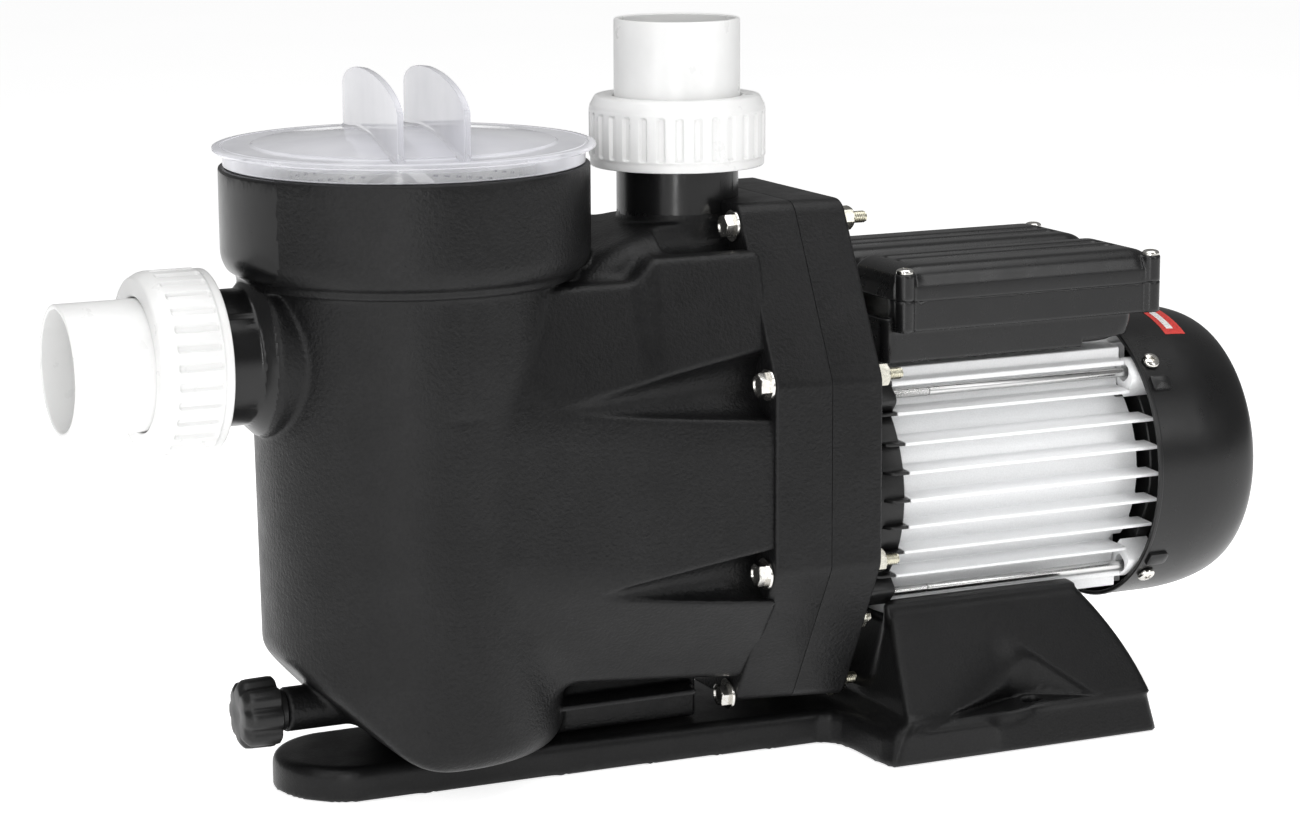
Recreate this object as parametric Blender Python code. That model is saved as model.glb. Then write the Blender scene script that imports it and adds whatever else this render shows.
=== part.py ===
"""Swimming-pool circulation pump: strainer pot and volute in one moulded casing,
unions on suction and discharge, a transparent strainer lid, an octagonal bolted
flange, a finned motor with a fan cowl and a terminal box, and a moulded base.

All driving dimensions are in millimetres; objects are made in metres.
X runs along the shaft from the suction end (-X) to the fan end (+X), Z is up,
and Z = 0 is the floor.  X = 0 is the centre of the discharge, Y = 0 the shaft.
"""
import math
import bpy
import bmesh
import numpy as np
from mathutils import Vector

# ----------------------------------------------------------------------------
# driving dimensions (mm)
# ----------------------------------------------------------------------------
MM = 0.001
GAP = 0.3                      # clearance between pieces that rest on each other

SHAFT_Z = 121.6                # shaft height above the floor
POT_X = -138.7                 # strainer pot axis
COLLAR_R, COLLAR_Z0, COLLAR_Z1 = 85.55, 240.2, 290.45
POT_R_TOP, POT_R_BOT, POT_Z0 = 73.0, 70.0, 16.3
INLET_Z = 206.5                # suction pipe axis
PIPE_R, PIPE_RI = 30.0, 27.6   # 60 mm union tailpiece
NUT_R, NUT_LEN, NUT_RIBS = 42.0, 33.1, 30
NUT_BORE, NUT_THROAT = 37.0, 30.8
NECK_MALE_R = 36.4
INLET_END_X, INLET_NUT_X = -305.35, -269.2
OUTLET_END_Z, OUTLET_NUT_Z = 351.6, 315.4
OUTLET_NECK_R, INLET_NECK_R = 29.1, 31.3
FLANGE_X0, FLANGE_XM, FLANGE_X1 = 10.0, 38.0, 63.5
VOLUTE_R = 62.0
BOLTS = [(40.5, 135.3), (77.0, 65.5), (75.0, -24.7), (35.0, -92.8)]  # (y, z above shaft)
LID_R = 88.13
LID_FIN_OFFSET, LID_FIN_TURN = 14.8, math.radians(11.8)
HOUSING_X0, HOUSING_X1 = 92.3, 233.0
FIN_PITCH, FIN_TIP_R, CORE_R, HOUSING_BORE = 13.3, 65.4, 52.0, 46.0
TIE_Y, TIE_Z, TIE_R = 46.0, 49.0, 2.5
COWL_X0, COWL_X1, COWL_R = 228.0, 291.0, 74.0
BOX_X0, BOX_X1, BOX_Y = 90.5, 234.5, 57.0
BASE_LEN_X0, BASE_LEN_X1, FOOT_Y = -208.0, 216.6, 96.5
DRAIN_Z = 38.5

# ----------------------------------------------------------------------------
# scene and helpers
# ----------------------------------------------------------------------------
for _o in list(bpy.data.objects):
    bpy.data.objects.remove(_o, do_unlink=True)

COL = bpy.context.scene.collection


def material(name, rgb, rough, metal=0.0, alpha=1.0, trans=0.0):
    m = bpy.data.materials.new(name)
    m.use_nodes = True
    b = m.node_tree.nodes['Principled BSDF']
    b.inputs['Base Color'].default_value = (*rgb, 1.0)
    b.inputs['Roughness'].default_value = rough
    b.inputs['Metallic'].default_value = metal
    b.inputs['Alpha'].default_value = alpha
    b.inputs['Transmission Weight'].default_value = trans
    return m


BLACK = material('black_pp', (0.035, 0.035, 0.036), 0.5)
GLOSS = material('gloss_black', (0.02, 0.02, 0.021), 0.3)
WHITE = material('white_pvc', (0.88, 0.88, 0.87), 0.35)
CLEAR = material('clear_lid', (0.93, 0.93, 0.96), 0.08, 0.0, 1.0, 0.9)
ALU = material('silver_aluminium', (0.72, 0.73, 0.73), 0.32, 0.9)
STEEL = material('stainless', (0.75, 0.74, 0.70), 0.22, 1.0)
IRON = material('lamination_steel', (0.28, 0.28, 0.29), 0.45, 0.9)
COPPER = material('copper_winding', (0.62, 0.26, 0.12), 0.4, 0.8)
RUBBER = material('black_rubber', (0.02, 0.02, 0.02), 0.75)
CERAMIC = material('ceramic', (0.9, 0.88, 0.82), 0.25)
BASKET = material('white_basket', (0.82, 0.83, 0.80), 0.45)
CAPAC = material('capacitor_case', (0.6, 0.6, 0.58), 0.4)


def finish(name, bm, mat, origin=(0.0, 0.0, 0.0), angle=35.0):
    """Write a bmesh held in millimetres to a new object in metres."""
    bmesh.ops.recalc_face_normals(bm, faces=bm.faces[:])
    o = Vector(origin)
    for v in bm.verts:
        v.co = (v.co - o) * MM
    me = bpy.data.meshes.new(name)
    bm.to_mesh(me)
    bm.free()
    me.shade_smooth()
    me.set_sharp_from_angle(angle=math.radians(angle))
    ob = bpy.data.objects.new(name, me)
    ob.location = o * MM
    COL.objects.link(ob)
    me.materials.append(mat)
    return ob


def axis_point(axis, c, r, a, h):
    """Point at radius r, angle a and height h on an axis through c."""
    if axis == 'Z':
        return (c[0] + r * math.cos(a), c[1] + r * math.sin(a), h)
    if axis == 'X':
        return (h, c[1] + r * math.cos(a), c[2] + r * math.sin(a))
    return (c[0] + r * math.sin(a), h, c[2] + r * math.cos(a))


def add_lathe(bm, profile, n, axis='Z', c=(0, 0, 0), phase=0.0):
    """Turn a closed (radius, height) outline about an axis."""
    rings = []
    for r, h in profile:
        if r < 1e-6:
            rings.append([bm.verts.new(axis_point(axis, c, 0, 0, h))])
        else:
            rings.append([bm.verts.new(axis_point(axis, c, r, phase + 2 * math.pi * i / n, h))
                          for i in range(n)])
    m = len(rings)
    for k in range(m):
        a, b = rings[k], rings[(k + 1) % m]
        if len(a) == 1 and len(b) == 1:
            continue
        for i in range(n):
            j = (i + 1) % n
            if len(a) == 1:
                bm.faces.new((a[0], b[i], b[j]))
            elif len(b) == 1:
                bm.faces.new((a[i], a[j], b[0]))
            else:
                bm.faces.new((a[i], a[j], b[j], b[i]))


def lathe(name, profile, n, mat, axis='Z', c=(0, 0, 0), phase=0.0, origin=(0, 0, 0)):
    bm = bmesh.new()
    add_lathe(bm, profile, n, axis, c, phase)
    return finish(name, bm, mat, origin)


def add_loft(bm, loops):
    """Skin equal-length closed loops and cap both ends."""
    rows = [[bm.verts.new(p) for p in lp] for lp in loops]
    n = len(rows[0])
    for a, b in zip(rows, rows[1:]):
        for i in range(n):
            j = (i + 1) % n
            bm.faces.new((a[i], a[j], b[j], b[i]))
    bm.faces.new(rows[0][::-1])
    bm.faces.new(rows[-1])


def loft(name, loops, mat, origin=(0, 0, 0)):
    bm = bmesh.new()
    add_loft(bm, loops)
    return finish(name, bm, mat, origin)


def prism_x(poly, x0, x1):
    return [[(x0, y, z) for y, z in poly], [(x1, y, z) for y, z in poly]]


def prism_z(poly, z0, z1):
    return [[(x, y, z0) for x, y in poly], [(x, y, z1) for x, y in poly]]


def box_loops(x0, x1, y0, y1, z0, z1):
    return prism_z([(x0, y0), (x1, y0), (x1, y1), (x0, y1)], z0, z1)


def cylinder(axis, c, r, h0, h1, n, phase=0.0):
    bm = bmesh.new()
    add_lathe(bm, [(0, h0), (r, h0), (r, h1), (0, h1)], n, axis, c, phase)
    return finish('cutter', bm, BLACK)


def boolean(ob, other, op='DIFFERENCE'):
    """Apply an exact Boolean with another object and remove that object."""
    m = ob.modifiers.new('bool', 'BOOLEAN')
    m.object = other
    m.operation = op
    m.solver = 'EXACT'
    bpy.context.view_layer.update()
    dg = bpy.context.evaluated_depsgraph_get()
    me = bpy.data.meshes.new_from_object(ob.evaluated_get(dg))
    ob.modifiers.clear()
    mat = ob.data.materials[0]
    ob.data = me
    me.materials.clear()
    me.materials.append(mat)
    for p in me.polygons:
        p.material_index = 0
    bpy.data.objects.remove(other, do_unlink=True)
    return ob


def tidy(ob, dist=0.02):
    """Weld the slivers that a Boolean leaves and set the shading again."""
    bm = bmesh.new()
    bm.from_mesh(ob.data)
    bmesh.ops.remove_doubles(bm, verts=bm.verts[:], dist=dist * MM)
    bmesh.ops.dissolve_degenerate(bm, edges=bm.edges[:], dist=0.005 * MM)
    bmesh.ops.triangulate(bm, faces=[f for f in bm.faces if len(f.verts) > 4])
    bmesh.ops.recalc_face_normals(bm, faces=bm.faces[:])
    bm.to_mesh(ob.data)
    bm.free()
    ob.data.shade_smooth()
    ob.data.set_sharp_from_angle(angle=math.radians(30))
    return ob


def arc(cx, cy, r, a0, a1, n):
    return [(cx + r * math.cos(math.radians(a0 + (a1 - a0) * i / n)),
             cy + r * math.sin(math.radians(a0 + (a1 - a0) * i / n))) for i in range(n + 1)]


# ----------------------------------------------------------------------------
# base frame: neck under the pump and a wide foot under the motor
# ----------------------------------------------------------------------------
def base_outline(inset=0.0):
    left = arc(-172.5, 0, 35.5 - inset, 100, 260, 10)
    low = [(-60, -37.5), (-8, -39.5), (34, -41.7), (61, -41.5), (69, -49), (77, -60), (86, -66)]
    low = [(x, y + inset) for x, y in low]
    up = [(x, -y) for x, y in low[::-1]]
    return left + low + up


base = loft('base_frame',
            [[(x, y, 0.0) for x, y in base_outline()],
             [(x, y, 12.8) for x, y in base_outline()],
             [(x, y, 15.2) for x, y in base_outline(1.0)],
             [(x, y, 16.0) for x, y in base_outline(3.0)]], BLACK)
plinth = loft('c', [[(76.6, -96.5, 0), (216.6, -96.5, 0), (216.6, 96.5, 0), (76.6, 96.5, 0)],
                    [(81.2, -93.5, 21), (212, -93.5, 21), (212, 93.5, 21), (81.2, 93.5, 21)]], BLACK)
boolean(base, plinth, 'UNION')
tower = loft('c', [[(81.9, -92.0, 19.5), (212.2, -92.0, 19.5), (212.2, 92.0, 19.5), (81.9, 92.0, 19.5)],
                   [(82.8, -75.6, 43.0), (204.6, -75.6, 43.0), (204.6, 75.6, 43.0), (82.8, 75.6, 43.0)],
                   [(83.6, -61.0, 64.0), (194.5, -61.0, 64.0), (194.5, 61.0, 64.0), (83.6, 61.0, 64.0)],
                   [(83.9, -59.0, 65.0), (192.0, -59.0, 65.0), (192.0, 59.0, 65.0), (83.9, 59.0, 65.0)],
                   [(84.2, -58.0, 69.3), (190.0, -58.0, 69.3), (190.0, 58.0, 69.3), (84.2, 58.0, 69.3)]], BLACK)
boolean(base, tower, 'UNION')
boolean(base, loft('c', box_loops(70, 230, -49.0, 49.0, 59.3, 90), BLACK))          # saddle
for s in (-1, 1):                                                                  # bolt notches
    tri = [(148, s * 74), (66.5, s * 110), (208.6, s * 110)]
    boolean(base, loft('c', prism_z(tri, 21.6, 80), BLACK))
    boolean(base, cylinder('Z', (150, s * 84, 0), 4.5, 5, 40, 12))
# hollows under the neck and the foot; a cross rib stays under the discharge
boolean(base, loft('c', prism_z(arc(-172.5, 0, 29, 110, 250, 6) + [(-14, -33), (-14, 33)], -1, 11), BLACK))
boolean(base, loft('c', box_loops(14, 70, -35, 35, -1, 11), BLACK))
boolean(base, loft('c', box_loops(84, 205, -89, 89, -1, 12), BLACK))
boolean(base, loft('c', [[(88, -66, 11), (200, -66, 11), (200, 66, 11), (88, 66, 11)],
                         [(90, -50, 53), (186, -50, 53), (186, 50, 53), (90, 50, 53)]], BLACK))
tidy(base)

# ----------------------------------------------------------------------------
# pump casing: strainer pot, volute, flange, both necks and the drain boss
# ----------------------------------------------------------------------------
PC = (POT_X, 0, 0)


def octagon(hw, crease_lo, crease_hi, top, top_hw, bot, bot_hw, r_top=6.0, r_bot=5.0):
    """Right half (y > 0) from bottom to top, mirrored into a closed outline."""
    right = [(bot_hw - r_bot, bot), (bot_hw, bot + 0.45 * r_bot), (hw - 2.5, crease_lo - 5.5),
             (hw, crease_lo + 4), (hw, crease_hi - 4), (hw - 2.0, crease_hi + 5),
             (top_hw + 1.6, top - r_top), (top_hw - 1.5, top - 0.28 * r_top), (top_hw - r_top, top)]
    return right + [(-y, z) for y, z in right[::-1]]


def flange_outline(hw, top_hw, bot_hw):
    return octagon(hw, 98.6, 187.6, 267.3, top_hw, 25.6, bot_hw, 9.0, 8.0)


casing = lathe('pump_casing',
               [(0, POT_Z0), (62, POT_Z0), (70, 26), (POT_R_TOP, 239.0), (80.5, 240.2),
                (COLLAR_R, 246.5), (COLLAR_R, COLLAR_Z1), (0, COLLAR_Z1)],
               36, BLACK, 'Z', PC)
# oblique lower front corner, which clears the drain knob
boolean(casing, loft('c', [[(x, -120, z) for x, z in ((-240, 98), (-240, -20), (-122, -20))],
                           [(x, 120, z) for x, z in ((-240, 98), (-240, -20), (-122, -20))]], BLACK))
body = loft('c', [[(-136.0, y, z) for y, z in octagon(71.5, 103, 184, 238, 57, 50, 48)],
                  [(-95.0, y, z) for y, z in octagon(72.5, 102, 181, 237, 57, 48, 47)],
                  [(FLANGE_X0 + 3, y, z) for y, z in octagon(82.0, 88, 169.5, 247, 60, 39, 46)]], BLACK)
boolean(casing, body, 'UNION')
top_deck = loft('c', [[(-46.0, y, z) for y, z in ((-34, 225), (34, 225), (34, 248), (26, 254), (-26, 254), (-34, 248))],
                      [(FLANGE_X0 + 3, y, z) for y, z in ((-42, 225), (42, 225), (42, 253), (34, 259), (-34, 259), (-42, 253))]], BLACK)
boolean(casing, top_deck, 'UNION')
foot = loft('c', [[(-112, y, z) for y, z in ((-34, POT_Z0), (34, POT_Z0), (39, 34), (39, 60), (-39, 60), (-39, 34))],
                  [(-2.0, y, z) for y, z in ((-34, POT_Z0), (34, POT_Z0), (39, 34), (39, 60), (-39, 60), (-39, 34))]], BLACK)
boolean(casing, foot, 'UNION')
# channels that clear the casing bolts, tapering away from the flange
for by, bz in BOLTS[:3]:
    for s in (-1, 1):
        z = SHAFT_Z + bz
        reach = (-30 if bz > 100 else -90 if bz > 0 else -74)
        ra = 13.5 if bz > 0 else 12.0
        pts = [(FLANGE_X0 + 0.01, ra, by), ((FLANGE_X0 + reach) / 2, ra * 0.66, by + 0.5), (reach, 1.5, by - 1.0)]
        loops = [[(x, s * (yy + r * math.cos(2 * math.pi * i / 10)), z + r * math.sin(2 * math.pi * i / 10))
                  for i in range(10)] for x, r, yy in pts]
        boolean(casing, loft('c', loops, BLACK))
flange = loft('c', [[(FLANGE_X0, y, z) for y, z in flange_outline(84.5, 47.0, 42.5)],
                    [(FLANGE_XM, y, z) for y, z in flange_outline(87.0, 49.0, 48.0)]], BLACK)
boolean(casing, flange, 'UNION')
neck = lathe('c', [(0, 200), (OUTLET_NECK_R, 200), (OUTLET_NECK_R, 284.3), (NECK_MALE_R, 284.3),
                   (NECK_MALE_R, 301.6), (0, 301.6)], 28, BLACK, 'Z', (0.03, 0, 0), math.pi / 28)
boolean(casing, neck, 'UNION')
spout = lathe('c', [(0, -150), (38.0, -150), (38.0, -213), (INLET_NECK_R, -219.5),
                    (INLET_NECK_R, -238.2), (NECK_MALE_R, -238.2), (NECK_MALE_R, -255.3), (0, -255.3)],
              28, BLACK, 'X', (0, 0, INLET_Z), math.pi / 28)
boolean(casing, spout, 'UNION')
boss = lathe('c', [(0, -160), (10.5, -160), (10.5, -204), (0, -204)], 14, BLACK, 'X', (0, 0, DRAIN_Z))
boolean(casing, boss, 'UNION')

# waterways
chamber = lathe('c', [(0, 31), (28, 31), (63, 66), (64.5, 262), (68.5, 262), (68.5, 268), (79, 268), (79, 300), (0, 300)],
                32, BLACK, 'Z', PC)
boolean(casing, chamber)
boolean(casing, cylinder('X', (0, 0, INLET_Z), 26.0, -262, -150, 20))
boolean(casing, cylinder('X', (0, 0, SHAFT_Z), 22.0, -118, -20, 20))
boolean(casing, cylinder('X', (0, 0, SHAFT_Z), VOLUTE_R, -24, 45, 32))
boolean(casing, cylinder('Z', (0, 0, 0), 24.0, 160, 310, 20))
boolean(casing, cylinder('X', (0, 0, DRAIN_Z), 6.2, -210, -160, 10))
groove = lathe('c', [(65.0, 35.3), (69.0, 35.3), (69.0, 45), (65.0, 45)], 28, BLACK, 'X', (0, 0, SHAFT_Z))
boolean(casing, groove)
for by, bz in BOLTS:
    for s in (-1, 1):
        boolean(casing, cylinder('X', (0, s * by, SHAFT_Z + bz), 3.6, 5, 45, 6))
tidy(casing)

lathe('casing_o_ring', [(65.4, 35.6), (68.6, 35.6), (68.6, 38.0), (65.4, 38.0)], 28, RUBBER, 'X', (0, 0, SHAFT_Z))

# ----------------------------------------------------------------------------
# seal plate: rear half of the bolted flange
# ----------------------------------------------------------------------------
plate = loft('seal_plate', [[(FLANGE_XM + GAP, y, z) for y, z in flange_outline(87.0, 49.0, 48.0)],
                            [(FLANGE_X1, y, z) for y, z in flange_outline(89.5, 51.0, 53.5)]], BLACK)
boolean(plate, cylinder('X', (0, 0, SHAFT_Z), 17.0, 30, 50.3, 24))
boolean(plate, cylinder('X', (0, 0, SHAFT_Z), 8.8, 45, 70, 16))
boolean(plate, lathe('c', [(22, 55), (56, 55), (56, 70), (22, 70)], 24, BLACK, 'X', (0, 0, SHAFT_Z)))
for by, bz in BOLTS:
    for s in (-1, 1):
        boolean(plate, cylinder('X', (0, s * by, SHAFT_Z + bz), 3.6, 30, 70, 6))
tidy(plate)

# ----------------------------------------------------------------------------
# casing bolts and nuts
# ----------------------------------------------------------------------------


def ring6(x, r, cy, cz, ph=0.0):
    return [(x, cy + r * math.cos(ph + math.pi * i / 3), cz + r * math.sin(ph + math.pi * i / 3)) for i in range(6)]


def bolt(name, cy, cz):
    rows = [(3.6, 4.7), (4.5, 5.8), (8.4, 5.8), (8.4, 7.6), (9.7, 7.6), (9.7, 3.0), (79.6, 3.0)]
    return loft(name, [ring6(x, r, cy, cz) for x, r in rows], STEEL)


def nut(name, cy, cz):
    rows = [(3.4, 63.8), (7.6, 63.8), (7.6, 65.3), (6.0, 65.3), (6.0, 72.0), (3.4, 72.0)]
    return lathe(name, rows, 6, STEEL, 'X', (0, cy, cz))


for k, (by, bz) in enumerate(BOLTS):
    for s, side in ((-1, 'near'), (1, 'far')):
        bolt('casing_bolt_%s_%d' % (side, k + 1), s * by, SHAFT_Z + bz)
        nut('casing_nut_%s_%d' % (side, k + 1), s * by, SHAFT_Z + bz)


# ----------------------------------------------------------------------------
# unions: ribbed nut and plain pipe tailpiece
# ----------------------------------------------------------------------------
def union_nut(name, axis, c, h_open, sign, mat):
    """h_open is the face on the pipe side; the nut runs back from it by sign."""
    n = NUT_RIBS * 2
    rows = [(NUT_THROAT, 0.0, 0), (NUT_R - 1.2, 0.0, 0), (NUT_R, 4.5, 1), (NUT_R, 26.0, 1), (NUT_R - 0.8, NUT_LEN, 0),
            (NUT_BORE, NUT_LEN, 0), (NUT_BORE, 4.9, 0), (NUT_THROAT, 4.9, 0)]
    bm = bmesh.new()
    rings = []
    for r, h, ribbed in rows:
        rings.append([bm.verts.new(axis_point(axis, c, r - (1.7 if ribbed and i % 2 else 0.0),
                                              2 * math.pi * i / n, h_open + sign * h)) for i in range(n)])
    for k in range(len(rings)):
        a, b = rings[k], rings[(k + 1) % len(rings)]
        for i in range(n):
            j = (i + 1) % n
            bm.faces.new((a[i], a[j], b[j], b[i]))
    o = (0, c[1], c[2]) if axis == 'X' else (c[0], c[1], 0)
    o = (h_open, c[1], c[2]) if axis == 'X' else (c[0], c[1], h_open)
    return finish(name, bm, mat, o)


def tailpiece(name, axis, c, h_end, h_face, sign, mat):
    """Pipe stub from h_end to its collar at h_face (the sealing face)."""
    flange = h_face - sign * 5.7
    prof = [(PIPE_RI, h_end), (PIPE_R, h_end), (PIPE_R, flange),
            (35.6, flange), (35.6, h_face), (PIPE_RI, h_face)]
    o = (h_end, c[1], c[2]) if axis == 'X' else (c[0], c[1], h_end)
    return lathe(name, prof, 32, mat, axis, c, 0.0, o)


IN_C, OUT_C = (0, 0, INLET_Z), (0, 0, 0)
union_nut('inlet_union_nut', 'X', IN_C, INLET_NUT_X, 1, WHITE)
tailpiece('inlet_tailpiece', 'X', IN_C, INLET_END_X, INLET_NUT_X + 4.9 + 0.4 + 5.7, 1, WHITE)
union_nut('outlet_union_nut', 'Z', OUT_C, OUTLET_NUT_Z, -1, WHITE)
tailpiece('outlet_tailpiece', 'Z', OUT_C, OUTLET_END_Z, OUTLET_NUT_Z - 4.9 - 0.4 - 5.7, -1, WHITE)

# ----------------------------------------------------------------------------
# strainer lid, its ring and the basket
# ----------------------------------------------------------------------------


def lid_top(r):
    if r > 70.0:
        return 299.8
    if r > 66.0:
        return 299.8 + (70.0 - r) / 4.0 * 0.9
    if r > 40.0:
        return 300.7 + 2.6 * (66.0 - r) / 26.0
    return 303.3 + 1.4 * (40.0 - r) / 40.0


lid_prof = [(LID_R - 0.6, 297.3), (LID_R, 298.6), (LID_R - 1.2, 299.8), (70.0, 299.8)]
lid_prof += [(r, lid_top(r)) for r in (66.0, 40.0, 0.0)]
lid_prof += [(0.0, 301.5), (40.0, 300.0), (66.0, 297.0), (72.2, 292.5), (72.2, 271.7), (78.2, 271.7),
             (78.2, 290.8), (83.2, 290.8), (83.2, 297.3)]
lid = lathe('strainer_lid', lid_prof, 36, CLEAR, 'Z', PC, 0.0, (POT_X, 0, 290.8))


def fin_outline():
    """(s, z) outline of one lid fin, along its chord."""
    low = [(s, lid_top(math.hypot(s, LID_FIN_OFFSET)) - 1.3) for s in (-82, -62, -40, 0, 40, 62, 82)]
    up = [(82 * math.cos(math.radians(a)), 319.8 + 13.2 * math.sin(math.radians(a))) for a in range(0, 181, 20)]
    return low + up


for off in (-LID_FIN_OFFSET, LID_FIN_OFFSET):
    ca, sa = math.cos(LID_FIN_TURN), math.sin(LID_FIN_TURN)
    loops = []
    for d in (off - 1.5, off + 1.5):
        loops.append([(POT_X + ca * d + sa * s, -sa * d + ca * s, z) for s, z in fin_outline()])
    boolean(lid, loft('c', loops, CLEAR), 'UNION')
tidy(lid)

lathe('lid_o_ring', [(73.0, 268.4), (77.2, 268.4), (77.2, 271.4), (73.0, 271.4)],
      28, RUBBER, 'Z', PC, 0.0, (POT_X, 0, 270))

basket = lathe('strainer_basket',
               [(0, 60), (51, 60), (54, 64), (61.2, 262.3), (68.0, 262.4), (68.0, 287.0), (65.8, 287.0), (65.8, 265.2),
                (59.4, 265.3), (50, 62.6), (0, 62.6)], 32, BASKET, 'Z', PC, 0.0, (POT_X, 0, 262.4))
boolean(basket, cylinder('X', (0, 0, INLET_Z), 27.0, -215, -150, 20))
for row, z0 in enumerate((70, 108, 146)):                       # rows of upright slots
    for k in range(8):
        a = 2 * math.pi * (k + 0.5 * (row % 2)) / 8
        ca, sa = math.cos(a), math.sin(a)
        loops = []
        for rr in (44.0, 68.0):
            loops.append([(POT_X + ca * rr - sa * t, sa * rr + ca * t, z)
                          for t, z in ((-5.5, z0), (5.5, z0), (5.5, z0 + 28), (-5.5, z0 + 28))])
        boolean(basket, loft('c', loops, BASKET))
bail_out = arc(0, 0, 1, 0, 180, 8)
bail = [(59.8 * x, 258 + 30 * y) for x, y in bail_out] + [(55.5 * x, 258 + 26 * y) for x, y in bail_out[::-1]]
boolean(basket, loft('c', [[(POT_X - 4, y, z) for y, z in bail], [(POT_X + 4, y, z) for y, z in bail]], BASKET), 'UNION')
tidy(basket)

# ----------------------------------------------------------------------------
# drain plug: eight-lobed knob with a spigot
# ----------------------------------------------------------------------------
bm = bmesh.new()
rows = []
for x, r, lobe in ((-226.5, 12.6, 0.7), (-224.0, 15.2, 1.0), (-208.4, 15.6, 1.0), (-208.4, 9.6, 0.0),
                   (-204.4, 9.6, 0.0), (-204.4, 5.7, 0.0), (-186.0, 5.7, 0.0)):
    rows.append([(x, (r + 0.9 * lobe * math.cos(8 * t)) * math.cos(t), DRAIN_Z + (r + 0.9 * lobe * math.cos(8 * t)) * math.sin(t))
                 for t in (2 * math.pi * i / 24 for i in range(24))])
add_loft(bm, rows)
finish('drain_plug', bm, GLOSS, (-204.4, 0, DRAIN_Z))

# ----------------------------------------------------------------------------
# hydraulics and shaft
# ----------------------------------------------------------------------------
SC = (0, 0, SHAFT_Z)
diff = lathe('diffuser', [(22.5, -18), (60.5, -18), (60.5, -15), (25.5, -15), (25.5, -12.2), (22.5, -12.2)][::-1],
             28, GLOSS, 'X', SC)
for k in range(7):
    a0 = 2 * math.pi * k / 7
    inner, outer = [], []
    for t in range(4):
        rr = 51.5 + 6.3 * t / 3.0
        aa = a0 + math.radians(10.0) * t
        inner.append((rr * math.cos(aa), rr * math.sin(aa)))
        outer.append(((rr + 1.5) * math.cos(aa - 0.05), (rr + 1.5) * math.sin(aa - 0.05)))
    poly = inner + outer[::-1]
    boolean(diff, loft('c', [[(-16.5, y, SHAFT_Z + z) for y, z in poly], [(22.0, y, SHAFT_Z + z) for y, z in poly]], GLOSS), 'UNION')
tidy(diff)

imp = lathe('impeller', [(6.4, -20), (9.5, -20), (12, 8), (50, 8), (50, 11), (14, 11), (14, 24), (6.4, 24)], 20, GLOSS, 'X', SC,
            0.0, (0, 0, SHAFT_Z))
for k in range(6):
    a0 = 2 * math.pi * k / 6
    up, dn = [], []
    for t in range(4):
        rr = 15.0 + 34.0 * t / 3.0
        aa = a0 - math.radians(25) * t
        up.append((rr * math.cos(aa), rr * math.sin(aa)))
        dn.append((rr * math.cos(aa + 2.0 / rr), rr * math.sin(aa + 2.0 / rr)))
    poly = up + dn[::-1]
    boolean(imp, loft('c', [[(-7.4, y, SHAFT_Z + z) for y, z in poly], [(9.4, y, SHAFT_Z + z) for y, z in poly]], GLOSS), 'UNION')
boolean(imp, lathe('c', [(19.2, -17.5), (21.6, -17.5), (21.6, -8.6), (50, -8.6), (50, -6.2), (19.2, -6.2)],
                   20, GLOSS, 'X', SC, math.pi / 20), 'UNION')
tidy(imp)

lathe('shaft', [(0, -24), (6.0, -24), (6.0, 66), (7.5, 67), (7.5, 96), (8.0, 97), (8.0, 224),
                (7.5, 225), (7.5, 250), (5.5, 251), (5.5, 283), (0, 283)], 16, STEEL, 'X', SC, 0.0, (0, 0, SHAFT_Z))
lathe('mechanical_seal_ring', [(6.4, 24.6), (12.5, 24.6), (12.5, 31), (15.5, 33), (15.5, 42.6), (6.4, 42.6)], 18, GLOSS, 'X', SC,
      0.0, (0, 0, SHAFT_Z))
lathe('mechanical_seal_seat', [(8.2, 43.0), (14.5, 43.0), (16.6, 44.0), (16.6, 49.9), (8.2, 49.9)], 20, CERAMIC, 'X', SC)

# ----------------------------------------------------------------------------
# motor
# ----------------------------------------------------------------------------
CORNER = math.atan2(TIE_Z, TIE_Y)


def ear(x0, x1, sy, sz, r1, hw):
    """Lug that carries a tie rod, along the corner direction."""
    cy, cz = math.cos(CORNER) * sy, math.sin(CORNER) * sz
    poly = [(40, -hw), (r1 - 3, -hw), (r1, -hw + 3), (r1, hw - 3), (r1 - 3, hw), (40, hw)]
    pts = [(cy * u - cz * v, SHAFT_Z + cz * u + cy * v) for u, v in poly]
    return loft('c', prism_x(pts, x0, x1), BLACK)


CORNERS = [(-1, -1), (-1, 1), (1, -1), (1, 1)]

fb = lathe('front_bracket', [(8.8, 63.8), (21.6, 63.8), (21.6, 70), (56, 70), (60, 78), (60, 92.0), (45.5, 92.0),
                             (45.5, 97), (18.0, 97), (18.0, 79), (8.8, 79)], 28, GLOSS, 'X', SC)
for sy, sz in CORNERS:
    boolean(fb, ear(74.0, 91.6, sy, sz, 71.0, 7.0), 'UNION')
for sy, sz in CORNERS:
    boolean(fb, cylinder('X', (0, sy * TIE_Y, SHAFT_Z + sz * TIE_Z), 2.8, 60, 100, 8))
tidy(fb)

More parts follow.
